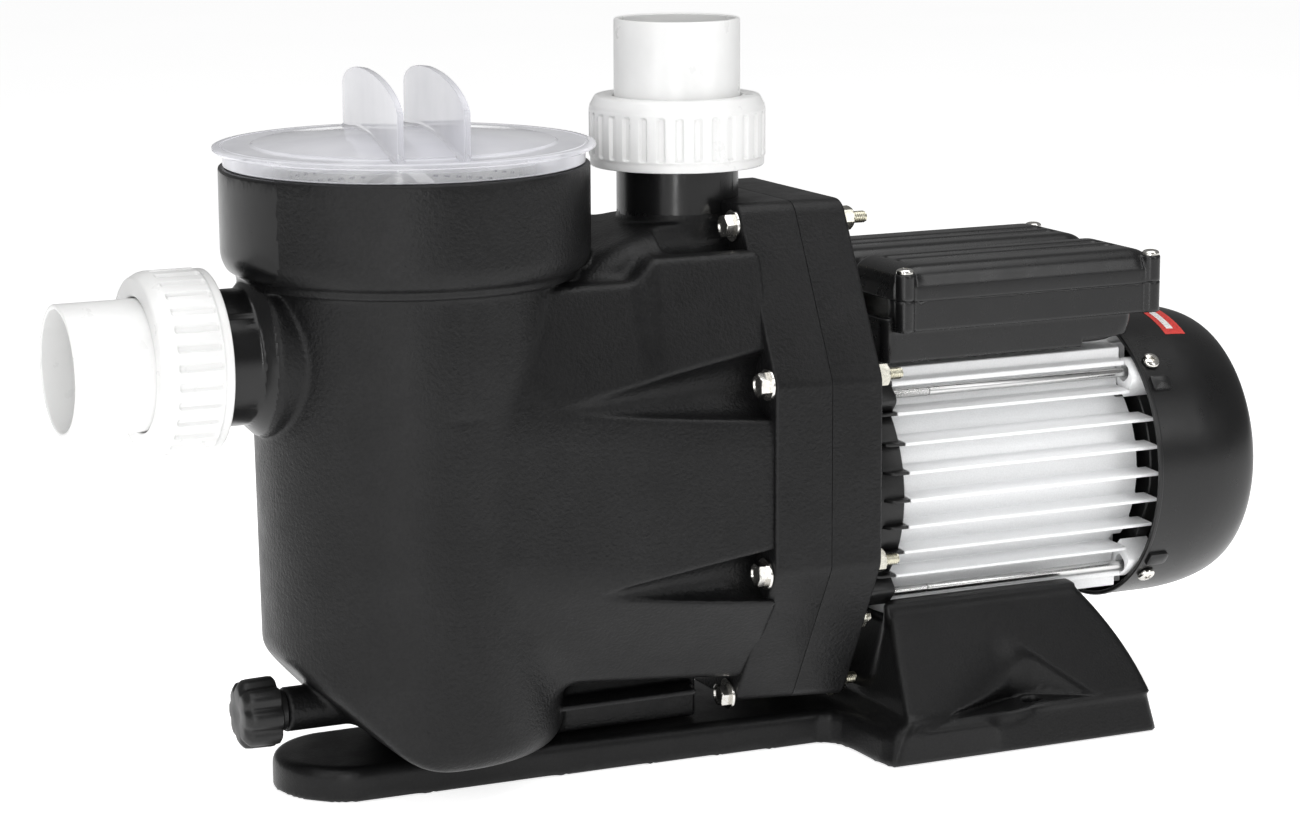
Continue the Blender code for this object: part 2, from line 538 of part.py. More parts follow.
# extruded housing: level fins on both flanks, channels for the tie rods, pads above and below
def housing_quarter():
    """First-quadrant outline (y, z) from the flank up to the top pad."""
    pts = []
    t = 0.9
    for k in range(4):
        z = k * FIN_PITCH
        tip = math.sqrt(FIN_TIP_R ** 2 - z ** 2)
        root_lo = math.sqrt(CORE_R ** 2 - max(z - 1.4, 0.0) ** 2)
        root_hi = math.sqrt(CORE_R ** 2 - (z + 1.4) ** 2)
        if k:
            pts.append((root_lo, z - 1.4))
            pts.append((tip, z - t))
        pts.append((tip, z + t))
        pts.append((root_hi, z + 1.4))
    # open channel round the tie rod, then the ledge over it and the pad
    pts[-1] = (39.5, 41.6)
    pts += [(37.5, 52.2), (46.0, 52.2), (46.0, 55.0), (41.0, 55.6), (41.0, 61.0), (28.0, 61.4), (28.0, 64.3)]
    return pts


q = housing_quarter()
top = q + [(-y, z) for y, z in q[::-1]]
low = [(y, -z) for y, z in q]
low[-2:] = [(28.0, -61.9)]
outline = top + [(-y, z) for y, z in low] + low[::-1]
clean = []
for p in outline:
    if not clean or math.hypot(p[0] - clean[-1][0], p[1] - clean[-1][1]) > 1e-6:
        clean.append(p)
if math.hypot(clean[0][0] - clean[-1][0], clean[0][1] - clean[-1][1]) < 1e-6:
    clean.pop()
housing = loft('motor_housing', prism_x([(y, SHAFT_Z + z) for y, z in clean], HOUSING_X0, HOUSING_X1), ALU)
boolean(housing, cylinder('X', SC, HOUSING_BORE, 80, 250, 40))
for sy, sz in CORNERS:
    y0, y1 = sorted((sy * 31.5, sy * 80.0))
    z0, z1 = sorted((SHAFT_Z + sz * 35.0, SHAFT_Z + sz * 80.0))
    boolean(housing, loft('c', box_loops(223.5, 240, y0, y1, z0, z1), ALU))
tidy(housing)

rb = lathe('rear_bracket', [(8.8, 247), (22, 247), (22, 241), (57, 241), (57, 233.3), (45.5, 233.3), (45.5, 228),
                            (18.0, 228), (18.0, 244), (8.8, 244)][::-1], 28, ALU, 'X', SC)
for sy, sz in CORNERS:
    cy, cz = math.cos(CORNER) * sy, math.sin(CORNER) * sz
    poly = [(46.5, -8.5), (66, -8.5), (71.2, -5), (71.2, 5), (66, 8.5), (46.5, 8.5)]
    pts = [(cy * u - cz * v, SHAFT_Z + cz * u + cy * v) for u, v in poly]
    poly2 = [(56.8, -8.2), (66, -8.2), (71.0, -5), (71.0, 5), (66, 8.2), (56.8, 8.2)]
    pts2 = [(cy * u - cz * v, SHAFT_Z + cz * u + cy * v) for u, v in poly2]
    boolean(rb, loft('c', prism_x(pts, 233.5, 240), ALU), 'UNION')
    boolean(rb, loft('c', prism_x(pts2, 224.0, 234.2), ALU), 'UNION')
for sy, sz in CORNERS:
    boolean(rb, cylinder('X', (0, sy * TIE_Y, SHAFT_Z + sz * TIE_Z), 2.8, 220, 230.6, 8))
    cy, cz = math.cos(CORNER) * sy, math.sin(CORNER) * sz
    loops = []
    for u in (62.5, 80.0):
        loops.append([(236.0 + 2.2 * math.cos(math.pi * i / 4),
                       cy * u - cz * 2.2 * math.sin(math.pi * i / 4),
                       SHAFT_Z + cz * u + cy * 2.2 * math.sin(math.pi * i / 4)) for i in range(8)])
    boolean(rb, loft('c', loops, ALU))
tidy(rb)

for (sy, sz), nm in zip(CORNERS, ('near_low', 'near_high', 'far_low', 'far_high')):
    lathe('tie_rod_' + nm, [(0, 72), (TIE_R - 0.6, 72), (TIE_R, 73), (TIE_R, 229.2), (TIE_R - 0.8, 230.0), (0, 230.0)], 8, STEEL,
          'X', (0, sy * TIE_Y, SHAFT_Z + sz * TIE_Z), math.pi / 8)

core = lathe('stator_core', [(26.6, 118), (45.6, 118), (45.6, 202), (26.6, 202)], 24, IRON, 'X', SC)
SLOTS = 8
for k in range(SLOTS):
    a = 2 * math.pi * k / SLOTS
    ca, sa = math.cos(a), math.sin(a)
    sq = [(29.5, -3.4), (40, -4.6), (40, 4.6), (29.5, 3.4)]
    boolean(core, loft('c', prism_x([(ca * u - sa * v, SHAFT_Z + sa * u + ca * v) for u, v in sq], 110, 210), IRON))
tidy(core)
wind = lathe('stator_winding', [(29.0, 105), (42.5, 105), (42.5, 117.6), (29.0, 117.6)], 24, COPPER, 'X', SC)
wind2 = lathe('c', [(29.0, 202.4), (42.5, 202.4), (42.5, 215), (29.0, 215)], 24, COPPER, 'X', SC)
for k in range(SLOTS):
    a = 2 * math.pi * k / SLOTS
    ca, sa = math.cos(a), math.sin(a)
    sq = [(30.2, -2.9), (39.4, -4.0), (39.4, 4.0), (30.2, 2.9)]
    boolean(wind, loft('c', prism_x([(ca * u - sa * v, SHAFT_Z + sa * u + ca * v) for u, v in sq], 116.0, 204.0), COPPER), 'UNION')
boolean(wind, wind2, 'UNION')
tidy(wind)
lathe('rotor_core', [(8.3, 119), (26.0, 119), (26.0, 201), (8.3, 201)], 28, IRON, 'X', SC, 0.0, (0, 0, SHAFT_Z))
for nm, x0, x1 in (('front_bearing', 79.4, 91.4), ('rear_bearing', 233.6, 243.6)):
    lathe(nm, [(7.8, x0), (17.7, x0), (17.7, x1), (7.8, x1)], 20, STEEL, 'X', SC)

fan = lathe('cooling_fan', [(5.8, 256), (14, 256), (14, 257), (50, 258.5), (50, 260.5), (14, 261), (14, 276), (5.8, 276)][::-1],
            24, GLOSS, 'X', SC, 0.0, (0, 0, SHAFT_Z))
for k in range(7):
    a = 2 * math.pi * k / 7
    ca, sa = math.cos(a), math.sin(a)
    sq = [(259.6, 13), (259.6, 52), (268, 52), (275, 46), (275, 13)]
    loops = [[(x, ca * u - sa * v, SHAFT_Z + sa * u + ca * v) for x, u in sq] for v in (-1.2, 1.2)]
    boolean(fan, loft('c', loops, GLOSS), 'UNION')
tidy(fan)

# fan cowl: drum with a rounded shoulder and a slotted end
shoulder = [(COWL_R - 12.4 + 12.4 * math.cos(math.radians(a)), 252 + 39.0 * math.sin(math.radians(a))) for a in (0, 30, 60, 90)]
inner = [(COWL_R - 2.2 - 12.0 + 12.0 * math.cos(math.radians(a)), 252 + 36.6 * math.sin(math.radians(a))) for a in (90, 60, 30, 0)]
cowl = lathe('fan_cover', [(COWL_R - 2.2, COWL_X0), (COWL_R, COWL_X0)] + shoulder + [(0, 291.0), (0, 288.6)] + inner, 40, GLOSS, 'X', SC)
for k in range(10):
    a = 2 * math.pi * (k + 0.5) / 10
    ca, sa = math.cos(a), math.sin(a)
    sq = [(20, -2.5), (52, -5.2), (52, 5.2), (20, 2.5)]
    boolean(cowl, loft('c', prism_x([(ca * u - sa * v, SHAFT_Z + sa * u + ca * v) for u, v in sq], 280, 300), GLOSS))
for sy, sz in CORNERS:
    cy, cz = math.cos(CORNER) * sy, math.sin(CORNER) * sz
    loops = []
    for u in (60.0, 90.0):
        loops.append([(236.0 + 2.5 * math.cos(math.pi * i / 4),
                       cy * u - cz * 2.5 * math.sin(math.pi * i / 4),
                       SHAFT_Z + cz * u + cy * 2.5 * math.sin(math.pi * i / 4)) for i in range(8)])
    boolean(cowl, loft('c', loops, GLOSS))
tidy(cowl)

for (sy, sz), nm in zip(CORNERS, ('near_low', 'near_high', 'far_low', 'far_high')):
    cy, cz = math.cos(CORNER) * sy, math.sin(CORNER) * sz
    loops = []
    for u, r in ((63.5, 1.8), (74.4, 1.8), (74.5, 4.4), (75.6, 4.3), (76.9, 2.2)):
        loops.append([(236.0 + r * math.cos(math.pi * i / 4), cy * u - cz * r * math.sin(math.pi * i / 4),
                       SHAFT_Z + cz * u + cy * r * math.sin(math.pi * i / 4)) for i in range(8)])
    loft('fan_cover_screw_' + nm, loops, STEEL)

# ----------------------------------------------------------------------------
# terminal box with two capacitor humps
# ----------------------------------------------------------------------------
BZ = SHAFT_Z
box = loft('terminal_box', box_loops(86.0, 226.5, -50.0, 50.0, BZ + 64.6, BZ + 81.0), GLOSS)
boolean(box, loft('c', box_loops(BOX_X0, BOX_X1, -BOX_Y, BOX_Y, BZ + 80.3, BZ + 95.2), GLOSS), 'UNION')
POSTS = [(93.4, -55.5), (231.6, -55.5), (93.4, 55.5), (231.6, 55.5)]
for px, py in POSTS:
    boolean(box, cylinder('Z', (px, py, 0), 4.8, BZ + 80.6, BZ + 95.0, 10, 0.1), 'UNION')
boolean(box, loft('c', box_loops(90.0, 222.5, -46.0, 46.0, BZ + 69.5, BZ + 97.0), GLOSS))
boolean(box, loft('c', box_loops(99.5, 226.0, -50.5, 50.5, BZ + 83.5, BZ + 97.0), GLOSS))
for px, py in POSTS:
    boolean(box, cylinder('Z', (px, py, 0), 1.9, BZ + 84.0, BZ + 99.0, 6))
boolean(box, cylinder('Y', (190, 0, BZ + 71.9), 5.95, 40, 56, 12))
tidy(box)


def hump(cy, grow, x0, x1, z_base, height, hw, end):
    loops = []
    for u in (0.0, 0.35, 1.0):
        k = math.sin(math.acos(1 - u)) if u < 1 else 1.0
        loops.append((x0 + end * u, max(0.15, k)))
    loops = loops + [(x1 - end * u, k) for (u, k) in [((x - x0) / end, k) for x, k in loops][::-1]]
    rows = []
    for x, k in loops:
        sec = []
        for i in range(9):
            a = math.pi * i / 8
            ca, sa = math.cos(a), math.sin(a)
            yy = hw * (0.55 + 0.45 * k) * math.copysign(abs(ca) ** 0.7, ca)
            zz = height * (0.25 + 0.75 * k) * abs(sa) ** 0.75
            sec.append((x, cy + yy, z_base + zz))
        sec += [(x, cy - hw * (0.55 + 0.45 * k), z_base - 6.0), (x, cy + hw * (0.55 + 0.45 * k), z_base - 6.0)]
        rows.append(sec)
    return loft('c', rows, GLOSS)


cover = loft('terminal_box_cover', box_loops(BOX_X0, BOX_X1, -BOX_Y, BOX_Y, BZ + 95.5, BZ + 103.0), GLOSS)
for s in (-1, 1):
    boolean(cover, hump(s * 28.2, 0, 92.5, 232.5, BZ + 102.0, 9.8, 27.0, 14.0), 'UNION')
for px, py in POSTS:
    boolean(cover, cylinder('Z', (px, py, 0), 4.8, BZ + 95.7, BZ + 108.6, 10, 0.1), 'UNION')
boolean(cover, loft('c', box_loops(99.5, 226.0, -50.5, 50.5, BZ + 90.0, BZ + 99.6), GLOSS))
for s in (-1, 1):
    boolean(cover, hump(s * 28.2, 0, 101.0, 224.0, BZ + 100.0, 9.0, 21.5, 12.0))
for px, py in POSTS:
    boolean(cover, cylinder('Z', (px, py, 0), 1.9, BZ + 90.0, BZ + 112.0, 6))
tidy(cover)
for (px, py), nm in zip(POSTS, ('near_front', 'near_rear', 'far_front', 'far_rear')):
    lathe('box_screw_' + nm, [(0, BZ + 85.0), (1.5, BZ + 85.0), (1.5, BZ + 108.9), (4.2, BZ + 108.9), (3.6, BZ + 110.4),
                              (0, BZ + 111.5)], 8, STEEL, 'Z', (px, py, 0), math.pi / 8)
for s, nm in ((-1, 'run_capacitor'), (1, 'start_capacitor')):
    lathe(nm, [(0, 108), (15.5, 108), (16.5, 109), (16.5, 197), (15.5, 198), (0, 198)], 20, CAPAC, 'X', (0, s * 28.0, BZ + 87.0))
lathe('cable_gland', [(4.0, 45.0), (5.6, 45.0), (5.6, 50.3), (7.9, 50.3), (7.9, 57.0), (6.9, 57.0), (5.8, 66.5), (4.0, 66.5)],
      12, GLOSS, 'Y', (190, 0, BZ + 71.9))
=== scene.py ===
"""Looks of the pool pump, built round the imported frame.

Shapes are made in millimetres and written in metres.  Moulded pieces with fillets
are distance fields turned into meshes; turned, extruded and fastener pieces are
built directly.
"""
import bpy
import bmesh
import math
import numpy as np
from mathutils import Matrix, Vector


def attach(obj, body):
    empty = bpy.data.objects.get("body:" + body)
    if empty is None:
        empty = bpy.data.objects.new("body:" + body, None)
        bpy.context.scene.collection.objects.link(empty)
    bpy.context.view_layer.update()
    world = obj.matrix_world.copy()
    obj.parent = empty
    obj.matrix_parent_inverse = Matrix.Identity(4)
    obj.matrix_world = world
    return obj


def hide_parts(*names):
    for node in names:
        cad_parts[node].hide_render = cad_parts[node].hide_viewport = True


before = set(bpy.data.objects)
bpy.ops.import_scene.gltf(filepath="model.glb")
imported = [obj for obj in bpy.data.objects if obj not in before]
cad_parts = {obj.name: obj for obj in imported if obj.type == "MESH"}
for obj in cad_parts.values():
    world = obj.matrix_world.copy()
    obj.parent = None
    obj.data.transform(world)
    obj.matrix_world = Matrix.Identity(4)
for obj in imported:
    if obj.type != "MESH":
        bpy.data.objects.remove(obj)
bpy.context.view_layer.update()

MM = 0.001
SZ = 121.6            # shaft height
PX = -138.7           # strainer pot axis
F = np.float32
COL = bpy.context.scene.collection


# --------------------------------------------------------------------------
# materials
# --------------------------------------------------------------------------
def new_material(name):
    m = bpy.data.materials.new(name)
    m.use_nodes = True
    nt = m.node_tree
    return m, nt, nt.nodes["Principled BSDF"]


def noise(nt, scale, detail=3.0, rough=0.55, stretch=None, distortion=0.0):
    tc = nt.nodes.new("ShaderNodeTexCoord")
    mp = nt.nodes.new("ShaderNodeMapping")
    nt.links.new(tc.outputs["Object"], mp.inputs["Vector"])
    if stretch:
        mp.inputs["Scale"].default_value = stretch
    n = nt.nodes.new("ShaderNodeTexNoise")
    n.inputs["Scale"].default_value = scale
    n.inputs["Detail"].default_value = detail
    n.inputs["Roughness"].default_value = rough
    n.inputs["Distortion"].default_value = distortion
    nt.links.new(mp.outputs["Vector"], n.inputs["Vector"])
    return n


def ramp(nt, src, stops):
    r = nt.nodes.new("ShaderNodeValToRGB")
    el = r.color_ramp.elements
    while len(el) < len(stops):
        el.new(0.5)
    for e, (p, c) in zip(el, stops):
        e.position = p
        e.color = (*c, 1.0) if len(c) == 3 else c
    nt.links.new(src, r.inputs["Fac"])
    return r


def to_range(nt, src, a, b, lo=0.0, hi=1.0):
    m = nt.nodes.new("ShaderNodeMapRange")
    m.inputs["From Min"].default_value = lo
    m.inputs["From Max"].default_value = hi
    m.inputs["To Min"].default_value = a
    m.inputs["To Max"].default_value = b
    nt.links.new(src, m.inputs["Value"])
    return m.outputs["Result"]


def bump(nt, b, height, strength, dist, under=None):
    bp = nt.nodes.new("ShaderNodeBump")
    bp.inputs["Strength"].default_value = strength
    bp.inputs["Distance"].default_value = dist
    nt.links.new(height, bp.inputs["Height"])
    if under is not None:
        nt.links.new(under.outputs["Normal"], bp.inputs["Normal"])
    nt.links.new(bp.outputs["Normal"], b.inputs["Normal"])
    return bp


def moulded(name, dark, light, r0, r1, grain=900.0, strength=0.35, dist=0.00012, spec=0.5, edge_highlight=0.5, coat=0.0):
    """Moulded plastic: fine leathery grain, cloudy tone, and a painted highlight that makes the edges a little lighter.
    """
    m, nt, b = new_material(name)
    big = noise(nt, 22.0, 4.0, 0.6)
    cloud = ramp(nt, big.outputs["Fac"], [(0.3, dark), (0.72, light)])
    speck = noise(nt, grain * 0.9, 2.0, 0.5)
    mix = nt.nodes.new("ShaderNodeMix")
    mix.data_type = "RGBA"
    mix.blend_type = "MULTIPLY"
    sp = ramp(nt, speck.outputs["Fac"], [(0.35, (0.72, 0.72, 0.73)), (0.65, (1.25, 1.25, 1.25))])
    mix.inputs["Factor"].default_value = 0.8
    nt.links.new(cloud.outputs["Color"], mix.inputs["A"])
    nt.links.new(sp.outputs["Color"], mix.inputs["B"])
    # painted highlight: edges picked out by pointiness are coloured lighter, standing in for light caught on the bevels
    geo = nt.nodes.new("ShaderNodeNewGeometry")
    edge_highlight_mask = to_range(nt, geo.outputs["Pointiness"], 0.0, 1.0, 0.52, 0.60)
    mix2 = nt.nodes.new("ShaderNodeMix")
    mix2.data_type = "RGBA"
    nt.links.new(edge_highlight_mask, mix2.inputs["Factor"])
    nt.links.new(mix.outputs["Result"], mix2.inputs["A"])
    mix2.inputs["B"].default_value = (*[c * (1.0 + edge_highlight) + 0.006 for c in light], 1.0)
    nt.links.new(mix2.outputs["Result"], b.inputs["Base Color"])
    rn = noise(nt, 60.0, 5.0, 0.65)
    nt.links.new(to_range(nt, rn.outputs["Fac"], r0, r1, 0.3, 0.7), b.inputs["Roughness"])
    g = noise(nt, grain, 3.0, 0.6)
    bp1 = bump(nt, b, g.outputs["Fac"], strength, dist)
    g2 = noise(nt, 110.0, 3.0, 0.5)
    bump(nt, b, g2.outputs["Fac"], 0.12, 0.0004, bp1)
    b.inputs["Specular IOR Level"].default_value = spec
    b.inputs["Coat Weight"].default_value = coat
    b.inputs["Coat Roughness"].default_value = 0.25
    return m


def metal(name, dark, light, r0, r1, scale=180.0, stretch=(1, 1, 1), strength=0.1, dist=0.00005, metallic=1.0):
    m, nt, b = new_material(name)
    n = noise(nt, scale, 4.0, 0.6, stretch)
    c = ramp(nt, n.outputs["Fac"], [(0.3, dark), (0.7, light)])
    nt.links.new(c.outputs["Color"], b.inputs["Base Color"])
    b.inputs["Metallic"].default_value = metallic
    n2 = noise(nt, scale * 0.4, 4.0, 0.6, stretch)
    nt.links.new(to_range(nt, n2.outputs["Fac"], r0, r1, 0.3, 0.7), b.inputs["Roughness"])
    bump(nt, b, n.outputs["Fac"], strength, dist)
    return m


M_CASE = moulded("casing_plastic", (0.0045, 0.0045, 0.0047), (0.0085, 0.0085, 0.0088), 0.31, 0.44, 620.0, 1.0, 0.00036, 0.22)
M_NECK = moulded("neck_plastic", (0.0050, 0.0050, 0.0052), (0.0075, 0.0075, 0.0077), 0.20, 0.28, 1500.0, 0.08, 0.00005, 0.36)
M_BASE = moulded("base_plastic", (0.0040, 0.0040, 0.0042), (0.0070, 0.0070, 0.0072), 0.30, 0.42, 900.0, 0.70, 0.00018, 0.22)
M_BOX = moulded("box_plastic", (0.0055, 0.0055, 0.0058), (0.0080, 0.0080, 0.0083), 0.24, 0.32, 1500.0, 0.12, 0.00006, 0.40)
M_COWL = moulded("cowl_plastic", (0.0055, 0.0055, 0.0057), (0.0075, 0.0075, 0.0077), 0.26, 0.34, 1500.0, 0.12, 0.00006, 0.36)
M_KNOB = moulded("knob_plastic", (0.0060, 0.0060, 0.0062), (0.0100, 0.0100, 0.0100), 0.34, 0.44, 1200.0, 0.3, 0.0001, 0.36)
M_WET = moulded("hydraulic_plastic", (0.014, 0.014, 0.015), (0.024, 0.024, 0.025), 0.3, 0.42, 1000.0, 0.2, 0.0001, 0.5)
M_PAINT = moulded("bracket_enamel", (0.0055, 0.0055, 0.0055), (0.0085, 0.0085, 0.0087), 0.3, 0.42, 700.0, 0.35, 0.00014, 0.36)
M_RUBBER = moulded("seal_rubber", (0.010, 0.010, 0.010), (0.016, 0.016, 0.016), 0.6, 0.75, 900.0, 0.3, 0.0001, 0.35)


def white_pvc():
    m, nt, b = new_material("white_pvc")
    n = noise(nt, 30.0, 4.0, 0.6)
    c = ramp(nt, n.outputs["Fac"], [(0.3, (0.73, 0.73, 0.725)), (0.7, (0.79, 0.79, 0.785))])
    nt.links.new(c.outputs["Color"], b.inputs["Base Color"])
    n2 = noise(nt, 90.0, 4.0, 0.6)
    nt.links.new(to_range(nt, n2.outputs["Fac"], 0.26, 0.36, 0.3, 0.7), b.inputs["Roughness"])
    g = noise(nt, 500.0, 3.0, 0.5)
    bump(nt, b, g.outputs["Fac"], 0.08, 0.00008)
    b.inputs["Subsurface Weight"].default_value = 0.12
    b.inputs["Subsurface Radius"].default_value = (0.004, 0.004, 0.004)
    b.inputs["Subsurface Scale"].default_value = 1.0
    b.inputs["Specular IOR Level"].default_value = 0.5
    return m


def basket_plastic():
    m, nt, b = new_material("basket_polypropylene")
    n = noise(nt, 40.0, 4.0, 0.6)
    c = ramp(nt, n.outputs["Fac"], [(0.3, (0.72, 0.73, 0.70)), (0.7, (0.80, 0.81, 0.78))])
    nt.links.new(c.outputs["Color"], b.inputs["Base Color"])
    n2 = noise(nt, 120.0, 3.0, 0.6)
    nt.links.new(to_range(nt, n2.outputs["Fac"], 0.36, 0.48, 0.3, 0.7), b.inputs["Roughness"])
    g = noise(nt, 700.0, 3.0, 0.5)
    bump(nt, b, g.outputs["Fac"], 0.15, 0.00008)
    b.inputs["Subsurface Weight"].default_value = 0.1
    b.inputs["Subsurface Radius"].default_value = (0.003, 0.003, 0.003)
    b.inputs["Subsurface Scale"].default_value = 1.0
    return m


def clear_plastic():
    """Slightly smoky clear moulding: see-through face on, milky towards grazing angles."""
    m, nt, b = new_material("clear_polycarbonate")
    n = noise(nt, 30.0, 3.0, 0.5)
    c = ramp(nt, n.outputs["Fac"], [(0.3, (0.74, 0.74, 0.79)), (0.7, (0.84, 0.84, 0.88))])
    nt.links.new(c.outputs["Color"], b.inputs["Base Color"])
    b.inputs["IOR"].default_value = 1.52
    b.inputs["Specular IOR Level"].default_value = 0.5
    n2 = noise(nt, 45.0, 4.0, 0.6)
    nt.links.new(to_range(nt, n2.outputs["Fac"], 0.04, 0.10, 0.3, 0.7), b.inputs["Roughness"])
    g = noise(nt, 60.0, 2.0, 0.5)
    bump(nt, b, g.outputs["Fac"], 0.06, 0.0003)
    lw = nt.nodes.new("ShaderNodeLayerWeight")
    lw.inputs["Blend"].default_value = 0.30
    nt.links.new(to_range(nt, lw.outputs["Facing"], 0.22, 0.90, 0.16, 0.48), b.inputs["Alpha"])
    return m


def silver_paint():
    m, nt, b = new_material("silver_paint")
    n = noise(nt, 1400.0, 2.0, 0.5)
    c = ramp(nt, n.outputs["Fac"], [(0.3, (0.86, 0.865, 0.87)), (0.7, (0.93, 0.935, 0.94))])
    nt.links.new(c.outputs["Color"], b.inputs["Base Color"])
    b.inputs["Metallic"].default_value = 0.14
    n2 = noise(nt, 50.0, 4.0, 0.6, (0.15, 1, 1))
    nt.links.new(to_range(nt, n2.outputs["Fac"], 0.30, 0.42, 0.3, 0.7), b.inputs["Roughness"])
    g = noise(nt, 260.0, 3.0, 0.5, (0.08, 1, 1))
    bump(nt, b, g.outputs["Fac"], 0.10, 0.00008)
    return m


M_PVC = white_pvc()
M_BASKET = basket_plastic()
M_CLEAR = clear_plastic()
M_SILVER = silver_paint()
M_STEEL = metal("stainless_steel", (0.62, 0.60, 0.56), (0.80, 0.79, 0.76), 0.14, 0.26, 700.0)
M_ZINC = metal("zinc_nut", (0.40, 0.39, 0.34), (0.58, 0.565, 0.50), 0.20, 0.32, 600.0)
M_THREAD = metal("yellow_zinc_thread", (0.50, 0.48, 0.38), (0.66, 0.635, 0.52), 0.22, 0.36, 800.0)
M_ROD = metal("tie_rod_steel", (0.50, 0.50, 0.50), (0.70, 0.70, 0.69), 0.18, 0.32, 300.0, (0.05, 1, 1))
M_BRIGHT = metal("ground_steel", (0.50, 0.50, 0.50), (0.62, 0.62, 0.62), 0.16, 0.28, 400.0)
M_IRON = metal("laminated_steel", (0.17, 0.17, 0.18), (0.28, 0.28, 0.29), 0.35, 0.5, 90.0, (14, 0.6, 0.6), 0.5, 0.0002)
M_COPPER = metal("copper_winding", (0.36, 0.13, 0.05), (0.62, 0.27, 0.12), 0.3, 0.45, 160.0, (1, 6, 6), 0.6, 0.0004)
M_CERAMIC = moulded("lapped_ceramic", (0.72, 0.69, 0.62), (0.82, 0.80, 0.74), 0.15, 0.25, 900.0, 0.05, 0.00003, 0.5, 0.02)
M_CAP = moulded("capacitor_case", (0.42, 0.42, 0.41), (0.52, 0.52, 0.50), 0.35, 0.45, 900.0, 0.15, 0.00008, 0.5, 0.05)
M_RED = moulded("red_sticker", (0.55, 0.03, 0.025), (0.66, 0.05, 0.04), 0.32, 0.4, 1200.0, 0.05, 0.00003, 0.5, 0.05)
M_BAR = moulded("white_sticker_bar", (0.72, 0.72, 0.71), (0.8, 0.8, 0.79), 0.35, 0.42, 1200.0, 0.05, 0.00003, 0.5, 0.02)

# --------------------------------------------------------------------------
# mesh helpers (millimetres in, metres out)
# --------------------------------------------------------------------------
PIECES = []


def place(ob, body, nodes=()):
    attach(ob, body)
    if nodes:
        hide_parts(*nodes)
    PIECES.append(ob)
    return ob


def smooth(me, angle=32.0):
    me.shade_smooth()
    me.set_sharp_from_angle(angle=math.radians(angle))


def bm_object(name, bm, mat, angle=32.0, recalc=True):
    if recalc:
        bmesh.ops.recalc_face_normals(bm, faces=bm.faces[:])
    for v in bm.verts:
        v.co *= MM
    me = bpy.data.meshes.new(name)
    bm.to_mesh(me)
    bm.free()
    smooth(me, angle)
    ob = bpy.data.objects.new(name, me)
    COL.objects.link(ob)
    for m in (mat if isinstance(mat, (list, tuple)) else [mat]):
        me.materials.append(m)
    return ob


def round_poly(pts, rad, seg=4, closed=True):
    """Corners of a polygon replaced by short curves; rad is one radius or one per corner."""
    n = len(pts)
    rads = rad if isinstance(rad, (list, tuple)) else [rad] * n
    out = []
    for i, p in enumerate(pts):
        r = rads[i]
        if r <= 0 or (not closed and i in (0, n - 1)):
            out.append(tuple(p))
            continue
        p = np.array(p, float)
        a, b = np.array(pts[i - 1], float), np.array(pts[(i + 1) % n], float)
        u, v = a - p, b - p
        lu, lv = np.linalg.norm(u), np.linalg.norm(v)
        u, v = u / lu, v / lv
        cosang = float(np.clip(u @ v, -1, 1))
        ang = math.acos(cosang)
        if ang > math.pi - 0.02:
            out.append(tuple(p))
            continue
        t = min(r / math.tan(ang / 2), 0.48 * lu, 0.48 * lv)
        s0, s1 = p + u * t, p + v * t
        for k in range(seg + 1):
            s = k / seg
            q = (1 - s) ** 2 * s0 + 2 * s * (1 - s) * p + s * s * s1
            out.append((float(q[0]), float(q[1])))
    return out


def axis_point(axis, c, r, a, h):
    if axis == "Z":
        return (c[0] + r * math.cos(a), c[1] + r * math.sin(a), h)
    if axis == "X":
        return (h, c[1] + r * math.cos(a), c[2] + r * math.sin(a))
    return (c[0] + r * math.sin(a), h, c[2] + r * math.cos(a))


def add_lathe(bm, prof, n, axis="Z", c=(0, 0, 0), phase=0.0, rfun=None):
    rings = []
    for r, h in prof:
        if r < 1e-6:
            rings.append([bm.verts.new(axis_point(axis, c, 0, 0, h))])
        else:
            rings.append([bm.verts.new(axis_point(axis, c, r if rfun is None else rfun(r, h, phase + 2 * math.pi * i / n),
                                                  phase + 2 * math.pi * i / n, h)) for i in range(n)])
    m = len(rings)
    for k in range(m):
        a, b = rings[k], rings[(k + 1) % m]
        if len(a) == 1 and len(b) == 1:
            continue
        for i in range(n):
            j = (i + 1) % n
            if len(a) == 1:
                bm.faces.new((a[0], b[i], b[j]))
            elif len(b) == 1:
                bm.faces.new((a[i], a[j], b[0]))
            else:
                bm.faces.new((a[i], a[j], b[j], b[i]))


def lathe(name, prof, n, mat, axis="Z", c=(0, 0, 0), phase=0.0, angle=32.0, rfun=None):
    bm = bmesh.new()
    add_lathe(bm, prof, n, axis, c, phase, rfun)
    return bm_object(name, bm, mat, angle)


def add_loft(bm, loops):
    rows = [[bm.verts.new(p) for p in lp] for lp in loops]
    n = len(rows[0])
    for a, b in zip(rows, rows[1:]):
        for i in range(n):
            j = (i + 1) % n
            bm.faces.new((a[i], a[j], b[j], b[i]))
    bm.faces.new(rows[0][::-1])
    bm.faces.new(rows[-1])


def loft(name, loops, mat, angle=32.0):
    bm = bmesh.new()
    add_loft(bm, loops)
    return bm_object(name, bm, mat, angle)


def boolean(ob, other, op="DIFFERENCE", keep_sharp=True, angle=32.0):
    m = ob.modifiers.new("bool", "BOOLEAN")
    m.object = other
    m.operation = op
    m.solver = "EXACT"
    bpy.context.view_layer.update()
    dg = bpy.context.evaluated_depsgraph_get()
    me = bpy.data.meshes.new_from_object(ob.evaluated_get(dg))
    mats = list(ob.data.materials)
    ob.modifiers.clear()
    ob.data = me
    me.materials.clear()
    for x in mats:
        me.materials.append(x)
    if len(mats) < 2:
        for p in me.polygons:
            p.material_index = 0
    bpy.data.objects.remove(other, do_unlink=True)
    smooth(me, angle)
    return ob


